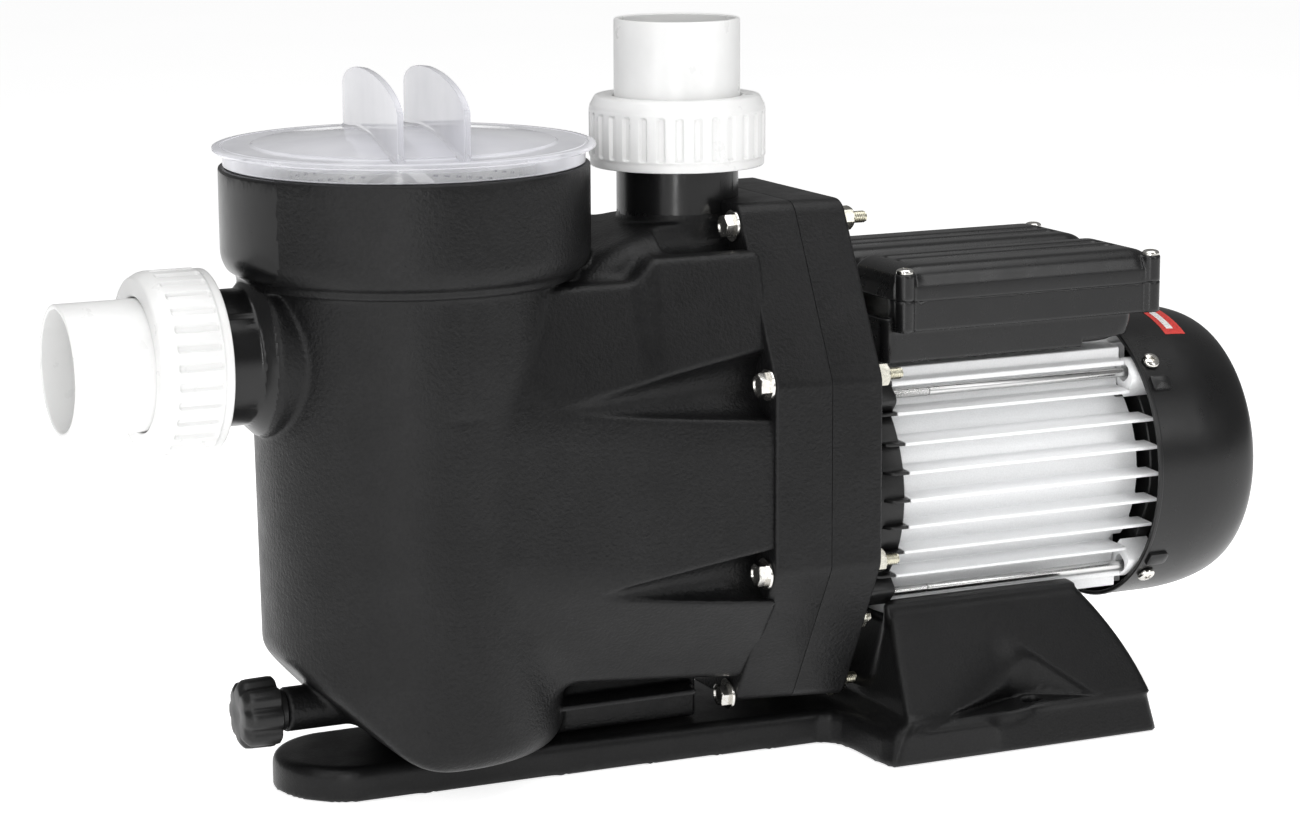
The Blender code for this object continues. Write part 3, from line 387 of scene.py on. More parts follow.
def apply_mod(ob):
    bpy.context.view_layer.update()
    dg = bpy.context.evaluated_depsgraph_get()
    me = bpy.data.meshes.new_from_object(ob.evaluated_get(dg))
    ob.modifiers.clear()
    ob.data = me
    return ob


def bevel(ob, width, seg=3, angle=30.0, apply=True):
    m = ob.modifiers.new("bevel", "BEVEL")
    m.width = width * MM
    m.segments = seg
    m.limit_method = "ANGLE"
    m.angle_limit = math.radians(angle)
    m.use_clamp_overlap = True
    if apply:
        apply_mod(ob)
        smooth(ob.data, 40.0)
    return ob


SC = (0, 0, SZ)


def cyl_ob(axis, c, r, h0, h1, n=32):
    return lathe("c", [(0, h0), (r, h0), (r, h1), (0, h1)], n, M_PAINT, axis, c)


# --------------------------------------------------------------------------
# distance fields
# --------------------------------------------------------------------------
def smin(a, b, k):
    a, b = np.broadcast_arrays(a, b)
    h = np.maximum(k - np.abs(a - b), 0) / k
    return np.minimum(a, b) - h * h * k * 0.25


def smax(a, b, k):
    h = np.maximum(k - np.abs(a - b), 0) / k
    return np.maximum(a, b) + h * h * k * 0.25


def rbox2(qx, qy, rd):
    """Distance from rounded quadrant: qx, qy are distances outside two faces."""
    a, b = qx + rd, qy + rd
    return np.minimum(np.maximum(a, b), 0) + np.sqrt(np.maximum(a, 0) ** 2 + np.maximum(b, 0) ** 2) - rd


def cyl(r, h, R, h0, h1, rd=0.8):
    return rbox2(r - R, np.abs(h - 0.5 * (h0 + h1)) - 0.5 * (h1 - h0), rd)


def rad(a, b):
    return np.sqrt(a * a + b * b)


def sstep(x, a, b):
    t = np.clip((x - a) / (b - a), 0, 1)
    return t * t * (3 - 2 * t)


def poly2(px, py, pts):
    """Signed distance from a closed polygon in the plane."""
    px, py = np.broadcast_arrays(np.asarray(px, F), np.asarray(py, F))
    d = np.full(px.shape, 1e12, F)
    s = np.ones(px.shape, F)
    n = len(pts)
    for i in range(n):
        ax, ay = pts[i]
        bx, by = pts[i - 1]
        ex, ey = bx - ax, by - ay
        wx, wy = px - F(ax), py - F(ay)
        t = np.clip((wx * ex + wy * ey) / (ex * ex + ey * ey), 0, 1)
        dx, dy = wx - ex * t, wy - ey * t
        d = np.minimum(d, dx * dx + dy * dy)
        c1, c2, c3 = py >= ay, py < by, ex * wy > ey * wx
        flip = (c1 & c2 & c3) | (~c1 & ~c2 & ~c3)
        s = np.where(flip, -s, s)
    return s * np.sqrt(d)


def line2(px, py, a, b):
    """Signed distance from the line a to b; negative on its left."""
    ex, ey = b[0] - a[0], b[1] - a[1]
    l = math.hypot(ex, ey)
    return ((px - a[0]) * ey - (py - a[1]) * ex) / l


def field_mesh(name, fn, lo, hi, h, mat, ratio=None, rounds=3, angle=180.0):
    ax = [np.arange(lo[i], hi[i] + h, h, dtype=np.float64).astype(F) for i in range(3)]
    nx, ny, nz = (len(a) for a in ax)
    V = np.empty((nx, ny, nz), F)
    step = max(1, int(1.5e6 / (ny * nz)))
    for i in range(0, nx, step):
        V[i:i + step] = fn(ax[0][i:i + step, None, None], ax[1][None, :, None], ax[2][None, None, :])
    S = V < 0
    cnt = np.zeros((nx - 1, ny - 1, nz - 1), np.int8)
    for a in (0, 1):
        for b in (0, 1):
            for c in (0, 1):
                cnt += S[a:nx - 1 + a, b:ny - 1 + b, c:nz - 1 + c]
    mixed = (cnt > 0) & (cnt < 8)
    I, J, K = np.nonzero(mixed)
    N = len(I)
    idx = np.full(mixed.shape, -1, np.int32)
    idx[I, J, K] = np.arange(N)
    corners = [(a, b, c) for a in (0, 1) for b in (0, 1) for c in (0, 1)]
    vals = {q: V[I + q[0], J + q[1], K + q[2]] for q in corners}
    acc = np.zeros((N, 3), np.float64)
    num = np.zeros(N, np.float64)
    for q in corners:
        for d in range(3):
            if q[d]:
                continue
            e = list(q)
            e[d] = 1
            va, vb = vals[q], vals[tuple(e)]
            m = (va < 0) != (vb < 0)
            t = np.where(m, va / np.where(m, va - vb, 1), 0)
            p = np.array(q, float)[None, :] + np.zeros((N, 3))
            p[:, d] += t
            acc += p * m[:, None]
            num += m
    P = acc / num[:, None] + np.stack([I, J, K], 1)
    P = np.array(lo, float)[None, :] + P * h
    quads = []
    # edges along each axis with a sign change
    for d in range(3):
        a, b = [(1, 2), (2, 0), (0, 1)][d]
        s0 = [slice(1, -1)] * 3
        s1 = [slice(1, -1)] * 3
        s0[d] = slice(0, -1)
        s1[d] = slice(1, None)
        A, B = S[tuple(s0)], S[tuple(s1)]
        cross = A != B
        L = np.array(np.nonzero(cross))
        base = L.copy()
        for k in (a, b):
            base[k] += 1
        up = A[tuple(L)]

        def cell(da, db):
            c = base.copy()
            c[a] += da
            c[b] += db
            return idx[c[0], c[1], c[2]]
        q = np.stack([cell(-1, -1), cell(0, -1), cell(0, 0), cell(-1, 0)], 1)
        q[~up] = q[~up][:, ::-1]
        quads.append(q)
    Q = np.concatenate(quads)
    Q = Q[(Q >= 0).all(1)]
    e = 0.05

    def at(p):
        p = p.astype(F)
        return np.asarray(fn(p[:, 0], p[:, 1], p[:, 2]), np.float64).reshape(-1)
    # neighbour averages along the quads, used to even the mesh out
    ring = np.concatenate([Q[:, [0, 1]], Q[:, [1, 2]], Q[:, [2, 3]], Q[:, [3, 0]]])
    for it in range(rounds):
        f0 = at(P)
        g = np.stack([at(P + np.eye(3)[k] * e) - at(P - np.eye(3)[k] * e) for k in range(3)], 1) / (2 * e)
        gg = np.maximum((g * g).sum(1), 0.2)
        st = np.clip(f0 / gg, -0.7 * h, 0.7 * h)
        P = P - g * st[:, None]
        if it < rounds - 1:
            deg = np.bincount(ring[:, 0], minlength=N) + np.bincount(ring[:, 1], minlength=N)
            av = np.stack([np.bincount(ring[:, 0], P[ring[:, 1], k], N) + np.bincount(ring[:, 1], P[ring[:, 0], k], N)
                           for k in range(3)], 1) / np.maximum(deg, 1)[:, None]
            mv = 0.5 * (av - P)
            nrm = g / np.sqrt(gg)[:, None]
            mv -= nrm * (mv * nrm).sum(1)[:, None]
            P = P + mv
    me = bpy.data.meshes.new(name)
    me.vertices.add(N)
    me.vertices.foreach_set("co", (P * MM).astype(F).ravel())
    me.loops.add(len(Q) * 4)
    me.loops.foreach_set("vertex_index", Q.astype(np.int32).ravel())
    me.polygons.add(len(Q))
    me.polygons.foreach_set("loop_start", np.arange(0, len(Q) * 4, 4, dtype=np.int32))
    me.update(calc_edges=True)
    me.validate()
    me.shade_smooth()
    ob = bpy.data.objects.new(name, me)
    COL.objects.link(ob)
    me.materials.append(mat)
    if ratio:
        m = ob.modifiers.new("thin", "DECIMATE")
        m.ratio = ratio
        apply_mod(ob)
        ob.data.shade_smooth()
    print("FIELD", name, "voxels", nx * ny * nz, "verts", N, "->", len(ob.data.polygons))
    return ob


# --------------------------------------------------------------------------
# pump casing
# --------------------------------------------------------------------------
BOLTS = [(40.5, 135.3), (77.0, 65.5), (75.0, -24.7), (35.0, -92.8)]


def octagon_field(y, z, hw, c_lo, c_hi, top, top_hw, bot, bot_hw, k):
    """Convex eight-sided section; sizes may vary along the shaft."""
    ay = np.abs(y)

    def slant(y0, z0, y1, z1, up):
        ny, nz = (z1 - z0), -(y1 - y0)
        if not up:
            ny, nz = -ny, -nz
        l = np.sqrt(ny * ny + nz * nz)
        return ((ay - y0) * ny + (z - z0) * nz) / l
    d = ay - hw
    up = slant(hw, c_hi, top_hw, top, True)
    dn = slant(hw, c_lo, bot_hw, bot, False)
    d = smax(d, up, k)
    d = smax(d, dn, k)
    tb = smax(z - top, bot - z, 0.5)
    return smax(d, tb, k)


def flange_outline(hw, t, b, inset):
    """Octagonal outline with rounded corners, drawn in by inset."""
    c = 0.55 * inset
    right = [(b - 2.1 - c, 25.6 + inset), (hw - inset, 98.6 + 0.2 * inset), (hw - inset, 187.6 - 0.2 * inset), (t - 2.5 - c, 267.3 - inset)]
    pts = right + [(-y, z) for y, z in right[::-1]]
    return round_poly(pts, [10.0, 9.0, 9.0, 10.0, 10.0, 9.0, 9.0, 10.0], 8)


def flange_mesh(name, x0, x1, a, b, front, rear, mat):
    """Plate between two outlines; front and rear are the edge radii."""
    rows = [(x0 + front * (1 - math.cos(t)), front * (1 - math.sin(t))) for t in [k / 5 * math.pi / 2 for k in range(6)]]
    rows += [(x1 - rear * (1 - math.cos(t)), rear * (1 - math.sin(t))) for t in [k / 5 * math.pi / 2 for k in range(5, -1, -1)]]
    loops = []
    for x, ins in rows:
        u = (x - x0) / (x1 - x0)
        o = flange_outline(*[p + (q - p) * u for p, q in zip(a, b)], ins)
        loops.append([(x, y, z) for y, z in o])
    return loft(name, loops, mat, 30.0)


def casing_field(x, y, z):
    rp = rad(x - PX, y)                       # strainer pot axis
    ro = rad(x, y)                            # discharge axis
    rs = rad(y, z - SZ)                       # shaft axis
    ri = rad(y, z - 206.5)                    # suction axis
    ay = np.abs(y)
    # pot: slightly tapered, rounded underneath, oblique lower front
    pot = (rp - (70.2 + (z - 26.0) * 0.0137)) * 0.9999
    pot = smax(pot, -(x + z + 142.0) * 0.70711, 4.5)
    pot = smax(pot, 16.4 - z, 13.0)
    pot = smax(pot, z - 262.0, 1.0)
    collar = rbox2(rp - 85.4, np.abs(z - 265.9) - 24.5, 1.2)
    collar = smax(collar, (rp - 85.4) * 0.75 - (z - 246.8) * 0.66, 4.0)
    bead = rbox2(rp - 78.6, np.abs(z - 240.5) - 2.2, 1.6)
    head = smin(collar, bead, 1.6)
    # body between the pot and the flange
    u = (x + 95.0) / 108.0
    u = np.clip(u, -0.6, 1.0)
    hw = 72.5 + 9.8 * u
    top = 236.4 + 10.4 * sstep(x, -53.0, -37.0)
    d = octagon_field(y, z, hw, 102.0 - 14.0 * u, 182.0 - 12.0 * u, top, 57.0 + 2.5 * u, 48.0 - 9.0 * u, 47.0 - 1.0 * u, 4.5)
    body = smax(d, np.abs(x + 62.0) - 76.0, 2.0)
    f = smin(pot, body, (1.6 + 9.0 * (1.0 - sstep(z, 62.0, 104.0))).astype(F))
    # raised deck round the discharge, sloping down to the pot
    dk = smax(z - (258.2 + 0.03 * x), (z - (239.5 + 0.62 * (x + 70.0))) * 0.85, 13.0)
    dk = smax(dk, ay - 48.5, 17.0)
    dk = smax(dk, np.maximum(x - 14.0, 225.0 - z), 1.0)
    f = smin(f, dk, 5.0)
    # foot block under the volute and a low rib along the neck of the base
    ft = smax(np.abs(x + 57.0) - 54.5, smax(ay - 24.0, 16.4 - z, 2.0), 2.0)
    ft = smax(ft, z - 62.0, 1.0)
    f = smin(f, ft, 4.0)
    rib = rbox2(np.abs(x + 46.0) - 40.0, rbox2(ay - 41.5, np.abs(z - 33.5) - 1.2, 0.8), 0.8)
    f = smin(f, rib, 1.5)
    # channels for the casing bolts
    for i, (by, bz) in enumerate(BOLTS):
        zc = SZ + bz
        if i == 0:
            r1 = rad(ay - by - 1.0, z - zc)
            ch = smax(r1 - 12.8, -30.0 - x, 6.0)
            f = smax(f, -ch, 2.0)
        elif i < 3:
            L = 103.0 if i == 1 else 86.0
            t = np.clip((10.0 - x) / L, -0.2, 1.1)
            q = np.maximum(1.0 - t, 0.0)
            R = (16.8 if i == 1 else 13.2) * q ** 0.80
            cy = by + (1.6 if i == 1 else 1.2) - (5.2 if i == 1 else 3.0) * t
            dzz = z - (zc - 0.5 - (4.5 if i == 1 else 3.5) * t)
            # round above, flatter below, so that the lower lip is the sharper one
            ch = (rad((ay - cy) * 1.05, dzz * np.where(dzz > 0, 0.95, 1.08)) - R) * 0.9
            ch = smax(ch, x - 22.0, 1.0)
            f = smax(f, -ch, 2.4)
        else:
            r1 = rad(ay - by - 3.0, z - zc + 1.0)
            ch = smax(r1 - 10.5, -10.0 - x, 6.0)
            f = smax(f, -ch, 2.0)
    f = smin(f, head, 3.2)
    # discharge neck, with its threaded head
    nk = cyl(ro, z, 29.1, 210.0, 290.0, 0.6)
    f = smin(f, nk, 2.6)
    thr = 36.3 - 1.1 * np.abs(((z - 284.0) / 3.0) % 1.0 - 0.5) * 2.0
    f = np.minimum(f, rbox2(ro - thr, np.abs(z - 292.95) - 8.65, 0.5))
    # suction spout flaring onto the pot
    sp = cyl(ri, x, 31.3, -240.0, -160.0, 0.6)
    fl = smax(ri - 37.8, (-219.8 - x + (ri - 31.3)) * 0.70711, 1.6)
    fl = smax(fl, x + 160.0, 1.0)
    f = smin(f, np.minimum(sp, fl), 1.8)
    thr = 36.3 - 1.1 * np.abs(((x + 240.0) / 3.0) % 1.0 - 0.5) * 2.0
    f = np.minimum(f, rbox2(ri - thr, np.abs(x + 246.75) - 8.55, 0.5))
    # drain boss
    bs = cyl(rad(y, z - 38.5), x, 10.4, -204.0, -150.0, 0.8)
    f = smin(f, bs, 3.0)
    # waterways
    ch = smax(rp - 64.5, (31.0 - z), 14.0)
    ch = smax(ch, -(x + z + 122.0) * 0.70711, 20.0)
    ch = np.minimum(ch, cyl(rp, z, 68.5, 262.0, 300.0, 0.3))
    ch = np.minimum(ch, cyl(rp, z, 79.0, 268.0, 300.0, 0.3))
    f = smax(f, -ch, 0.8)
    f = smax(f, -cyl(ri, x, 26.0, -270.0, -150.0, 0.5), 0.8)
    f = smax(f, -cyl(rs, x, 22.0, -118.0, -15.0, 0.5), 0.8)
    f = smax(f, -cyl(rs, x, 62.0, -24.0, 60.0, 0.8), 0.8)
    f = smax(f, -cyl(ro, z, 24.0, 160.0, 320.0, 0.5), 0.8)
    f = smax(f, -cyl(rad(y, z - 38.5), x, 6.2, -220.0, -150.0, 0.3), 0.5)
    return f


def build_casing():
    h = 1.45
    ob = field_mesh("casing_shell", casing_field, (-257.5, -91.5, 14.0), (40.0, 91.5, 304.0), h, M_CASE, 0.42)
    me = ob.data
    me.materials.append(M_NECK)
    n = len(me.polygons)
    cen = np.empty(n * 3)
    me.polygons.foreach_get("center", cen)
    cen = cen.reshape(-1, 3) / MM
    sm = ((cen[:, 0] < -214.5) | ((np.hypot(cen[:, 0], cen[:, 1]) < 37.5) & (cen[:, 2] > 261.0))).astype(np.int32)
    me.polygons.foreach_set("material_index", sm)
    place(ob, "root", ["pump_casing"])
    fl = flange_mesh("casing_flange_shell", 10.0, 38.0, (84.5, 47.0, 42.5), (87.0, 49.0, 48.0), 1.6, 0.25, M_CASE)
    boolean(fl, cyl_ob("X", SC, 62.0, 0, 60, 96))
    smooth(fl.data, 30)
    return place(fl, "root", ())


def build_plate():
    ob = flange_mesh("seal_plate_shell", 38.2, 63.5, (87.0, 49.0, 48.0), (89.5, 51.0, 53.5), 0.25, 1.6, M_CASE)
    boolean(ob, cyl_ob("X", SC, 17.0, 30, 50.3, 64))
    boolean(ob, cyl_ob("X", SC, 8.8, 45, 70, 48))
    boolean(ob, lathe("c", [(22, 55), (56, 55), (56, 70), (22, 70)], 96, M_CASE, "X", SC))
    smooth(ob.data, 30)
    return place(ob, "root", ["seal_plate"])


# --------------------------------------------------------------------------
# base
# --------------------------------------------------------------------------
def base_outline():
    left = [(-172.5 + 35.5 * math.cos(math.radians(a)), 35.5 * math.sin(math.radians(a))) for a in np.linspace(100, 260, 33)]
    low = [(-60, -37.5), (-8, -39.5), (34, -41.7), (54, -42.4), (60, -45.2), (63.2, -51.0), (65.0, -60.0), (66.0, -74.0),
           (67.0, -86.0), (70.0, -92.0), (76.5, -95.6), (86, -96.5)]
    up = [(x, -y) for x, y in low[::-1]]
    return left + low + [(120, -96.5), (120, 96.5)] + up


OUT2 = base_outline()


def base_field(x, y, z):
    ay = np.abs(y)
    d2 = poly2(x, y, OUT2)
    neck = smax(d2, z - 16.0, 6.0)
    # sloping shoulder that joins the neck to the foot
    px0 = (67.0 + np.maximum(z - 2.0, 0) * 0.48) - x
    px1 = x - (216.6 - 0.22 * z)
    py = ay - (96.5 - 0.143 * z)
    pl = smax(smax(px0, px1, 1.5), py, 7.0)
    pl = smax(pl, z - 21.4, 1.2)
    # tower under the motor
    tx1 = x - (212.6 - 0.0068 * np.maximum(z - 18.0, 0) ** 2 - 0.1 * (z - 18.0))
    tx0 = (76.2 + np.maximum(z - 21.0, 0) * 0.19) - x
    ty = (ay - (93.3 - (z - 21.0) * 0.784)) * 0.787
    tw = smax(smax(tx0, tx1 * 0.9, 3.0), ty, 3.0)
    tw = smax(tw, z - 69.3, 1.6)
    tw = np.maximum(tw, 19.0 - z)
    rim = smax(smax(83.5 - x, x - 190.0, 1.5), ay - 58.2, 1.5)
    rim = smax(rim, np.abs(z - 64.0) - 5.3, 1.0)
    tw = smin(tw, rim, 2.0)
    f = smin(neck, pl, 9.0)
    f = smin(f, tw, 1.6)
    # concave front of the tower
    cv = rad((x - 66.0) * 1.0, (z - 62.0) * 0.62)
    f = smax(f, -smax(cv - 21.0, ay - 52.0, 6.0), 5.0)
    f = smax(f, -smax(smax(ay - 49.0, 59.3 - z, 0.6), -(x - 60.0), 0.6), 1.0)          # saddle
    # bolt notches
    ax_, ay_ = 148.0, 74.0
    nl = -line2(x, ay, (ax_, ay_), (66.5, 110.0))
    nr = line2(x, ay, (ax_, ay_), (208.6, 110.0))
    nt = smax(nl, nr, 7.0)
    k = (2.0 + 9.0 * (1.0 - sstep(x, 132.0, 156.0))).astype(F)
    nt = np.maximum(nt, 21.6 - z)
    f = smax(f, -nt, k)
    hole = cyl(rad(x - 150.0, ay - 84.0), z, 4.5, -5.0, 40.0, 0.3)
    f = smax(f, -hole, 0.6)
    # open underside
    un = smax(smax(np.abs(x + 93.0) - 79.0, ay - (33.0 - np.maximum(-100.0 - x, 0) * 0.13), 3.0), z - 11.0, 1.0)
    un2 = smax(smax(np.abs(x - 41.0) - 25.0, ay - 34.5, 3.0), z - 11.0, 1.0)
    un3 = smax(smax(np.abs(x - 145.0) - 59.0, ay - 88.0, 3.0), z - 11.5, 1.0)
    t = np.clip((z - 11.0) / 42.0, 0, 1)
    un4 = smax(smax(np.abs(x - (144.0 - 6.0 * t)) - (56.0 - 8.0 * t), ay - (66.0 - 16.0 * t), 3.0), z - 53.0, 1.0)
    f = smax(f, -np.minimum(np.minimum(un, un2), np.minimum(un3, un4)), 1.0)
    f = smax(f, ay - 96.4, 0.6)
    return np.maximum(f, -z)


def build_base():
    h = 1.45
    ob = field_mesh("base_shell", base_field, (-211.0, -99.5, -3.0), (220.0, 99.5, 72.0), h, M_BASE, 0.4)
    return place(ob, "root", ["base_frame"])


# --------------------------------------------------------------------------
# unions
# --------------------------------------------------------------------------
def union_nut(name, axis, c, h_open, sign, body, node):
    n = 480
    hs = [0.0, 0.35, 1.0, 2.2, 3.6, 4.6, 5.2, 5.9, 6.6, 7.1, 7.5, 7.9, 8.4, 9.0, 9.8, 11, 14, 17.7, 21, 24.5, 26.0, 26.8,
          27.4, 27.8, 28.2, 28.6, 29.0, 29.5, 30.2, 31.2, 32.2, 32.8, 33.1]
    pitch = 2 * math.pi / 30

    def outer(h):
        r = 39.2 + 2.4 * min(h / 4.6, 1.0) if h < 4.6 else 41.6
        if h < 0.8:
            r -= 0.7 * (1 - math.sqrt(max(0.0, 1 - (1 - h / 0.8) ** 2)))
        if h > 5.2:
            r = 41.6 + 0.4 * min((h - 5.2) / 1.2, 1.0)
        if h > 28.4:
            r = 42.0 - 0.5 * min((h - 28.4) / 0.7, 1.0)
        if h > 32.2:
            r -= 0.6 * (1 - math.sqrt(max(0.0, 1 - ((h - 32.2) / 0.9) ** 2)))
        return r

    bm = bmesh.new()
    rings = []
    th = np.arange(n) * 2 * math.pi / n
    for h in hs:
        r = np.full(n, outer(h))
        s_ = (((th / pitch) % 1.0) - 0.5) * pitch * 42.0
        qx = np.abs(s_) - 1.95 + 1.5
        qz = abs(h - 17.75) - 10.35 + 1.5
        d = np.hypot(np.maximum(qx, 0), max(qz, 0)) + np.minimum(np.maximum(qx, qz), 0) - 1.5
        t = np.clip((0.35 - d) / 1.1, 0, 1)
        r = r - 1.45 * t * t * (3 - 2 * t)
        rings.append([bm.verts.new(axis_point(axis, c, float(r[i]), float(th[i]), h_open + sign * h)) for i in range(n)])
    for r, h in ((41.0, 33.1), (37.6, 33.1), (37.0, 32.5), (37.0, 5.2), (36.7, 4.9), (31.2, 4.9), (30.8, 4.5), (30.8, 0.5), (31.3, 0.0)):
        rings.append([bm.verts.new(axis_point(axis, c, r, float(th[i]), h_open + sign * h)) for i in range(n)])
    m = len(rings)
    for k in range(m):
        a, b = rings[k], rings[(k + 1) % m]
        for i in range(n):
            j = (i + 1) % n
            bm.faces.new((a[i], a[j], b[j], b[i]))
    ob = bm_object(name, bm, M_PVC, 38.0)
    return place(ob, body, [node])


def tailpiece(name, axis, c, h_end, h_face, sign, body, node):
    fl = h_face - sign * 5.7
    e = sign
    prof = [(27.6, h_end + e * 0.6), (27.9, h_end + e * 0.15), (28.3, h_end), (29.2, h_end), (29.7, h_end + e * 0.2), (30.0, h_end + e * 0.8),
            (30.0, fl - e * 0.8), (30.3, fl), (35.2, fl), (35.6, fl + e * 0.4), (35.6, h_face - e * 0.4), (35.2, h_face),
            (28.0, h_face), (27.6, h_face - e * 0.4)]
    ob = lathe(name, prof, 144, M_PVC, axis, c)
    return place(ob, body, [node])


IN_C, OUT_C = (0, 0, 206.5), (0, 0, 0)
union_nut("suction_nut_shell", "X", IN_C, -269.2, 1, "inlet_nut", "inlet_union_nut")
tailpiece("suction_stub_shell", "X", IN_C, -305.35, -269.2 + 11.0, 1, "inlet_stub", "inlet_tailpiece")
union_nut("discharge_nut_shell", "Z", OUT_C, 315.4, -1, "outlet_nut", "outlet_union_nut")
tailpiece("discharge_stub_shell", "Z", OUT_C, 351.6, 315.4 - 11.0, -1, "outlet_stub", "outlet_tailpiece")

# --------------------------------------------------------------------------
# lid and basket
# --------------------------------------------------------------------------
PC = (PX, 0, 0)
FOFF, FTURN = 14.8, math.radians(11.8)


def lid_top(r):
    if r > 70.0:
        return 299.8
    if r > 66.0:
        return 299.8 + (70.0 - r) / 4.0 * 0.9
    if r > 40.0:
        return 300.7 + 2.6 * (66.0 - r) / 26.0
    return 303.3 + 1.4 * (40.0 - r) / 40.0


def build_lid():
    prof = [(87.2, 297.35), (87.9, 297.9), (88.13, 298.6), (87.8, 299.4), (86.9, 299.8), (84.6, 299.8), (84.2, 299.5), (83.4, 299.5),
            (83.0, 299.8), (71.2, 299.8), (70.2, 300.0), (69.4, 300.7), (66.0, 301.0), (58.0, 301.7), (49.0, 302.5), (40.0, 303.3),
            (30.0, 303.9), (20.0, 304.3), (10.0, 304.6), (0.0, 304.7),
            (0.0, 301.5), (20.0, 301.2), (40.0, 300.0), (55.0, 298.6), (66.0, 297.0), (69.5, 295.3), (71.6, 293.6), (72.2, 291.8),
            (72.2, 272.0), (72.5, 271.7), (77.9, 271.7), (78.2, 272.0), (78.2, 290.3), (78.7, 290.8), (82.8, 290.8), (83.2, 291.2),
            (83.2, 296.9), (83.7, 297.3)]
    lid = lathe("lid_shell", prof, 160, M_CLEAR, "Z", PC)
    ca, sa = math.cos(FTURN), math.sin(FTURN)
    for off in (-FOFF, FOFF):
        low = [(s, lid_top(math.hypot(s, FOFF)) - 1.3) for s in (-82, -62, -40, 0, 40, 62, 82)]
        up = [(82 * math.cos(math.radians(a)), 319.8 + 13.2 * math.sin(math.radians(a))) for a in range(0, 181, 6)]
        out = low + up
        loops = [[(PX + ca * d + sa * s, -sa * d + ca * s, z) for s, z in out] for d in (off - 1.5, off + 1.5)]
        fin = loft("c", loops, M_CLEAR)
        bevel(fin, 0.55, 2, 50.0)
        boolean(lid, fin, "UNION")
        # widened foot of the fin
        loops = []
        for s in (-80, -60, -40, -20, 0, 20, 40, 60, 80):
            zt = lid_top(math.hypot(s, FOFF))
            loops.append([(PX + ca * d + sa * s, -sa * d + ca * s, z) for d, z in
                          ((off - 2.9, zt - 0.6), (off - 2.9, zt + 0.02), (off - 1.9, zt + 0.9), (off - 1.4, zt + 2.6),
                           (off + 1.4, zt + 2.6), (off + 1.9, zt + 0.9), (off + 2.9, zt + 0.02), (off + 2.9, zt - 0.6))])
        boolean(lid, loft("c", loops, M_CLEAR), "UNION")
    smooth(lid.data, 30.0)
    wn = lid.modifiers.new("wn", "WEIGHTED_NORMAL")
    wn.keep_sharp = True
    apply_mod(lid)
    return place(lid, "lid", ["strainer_lid"])


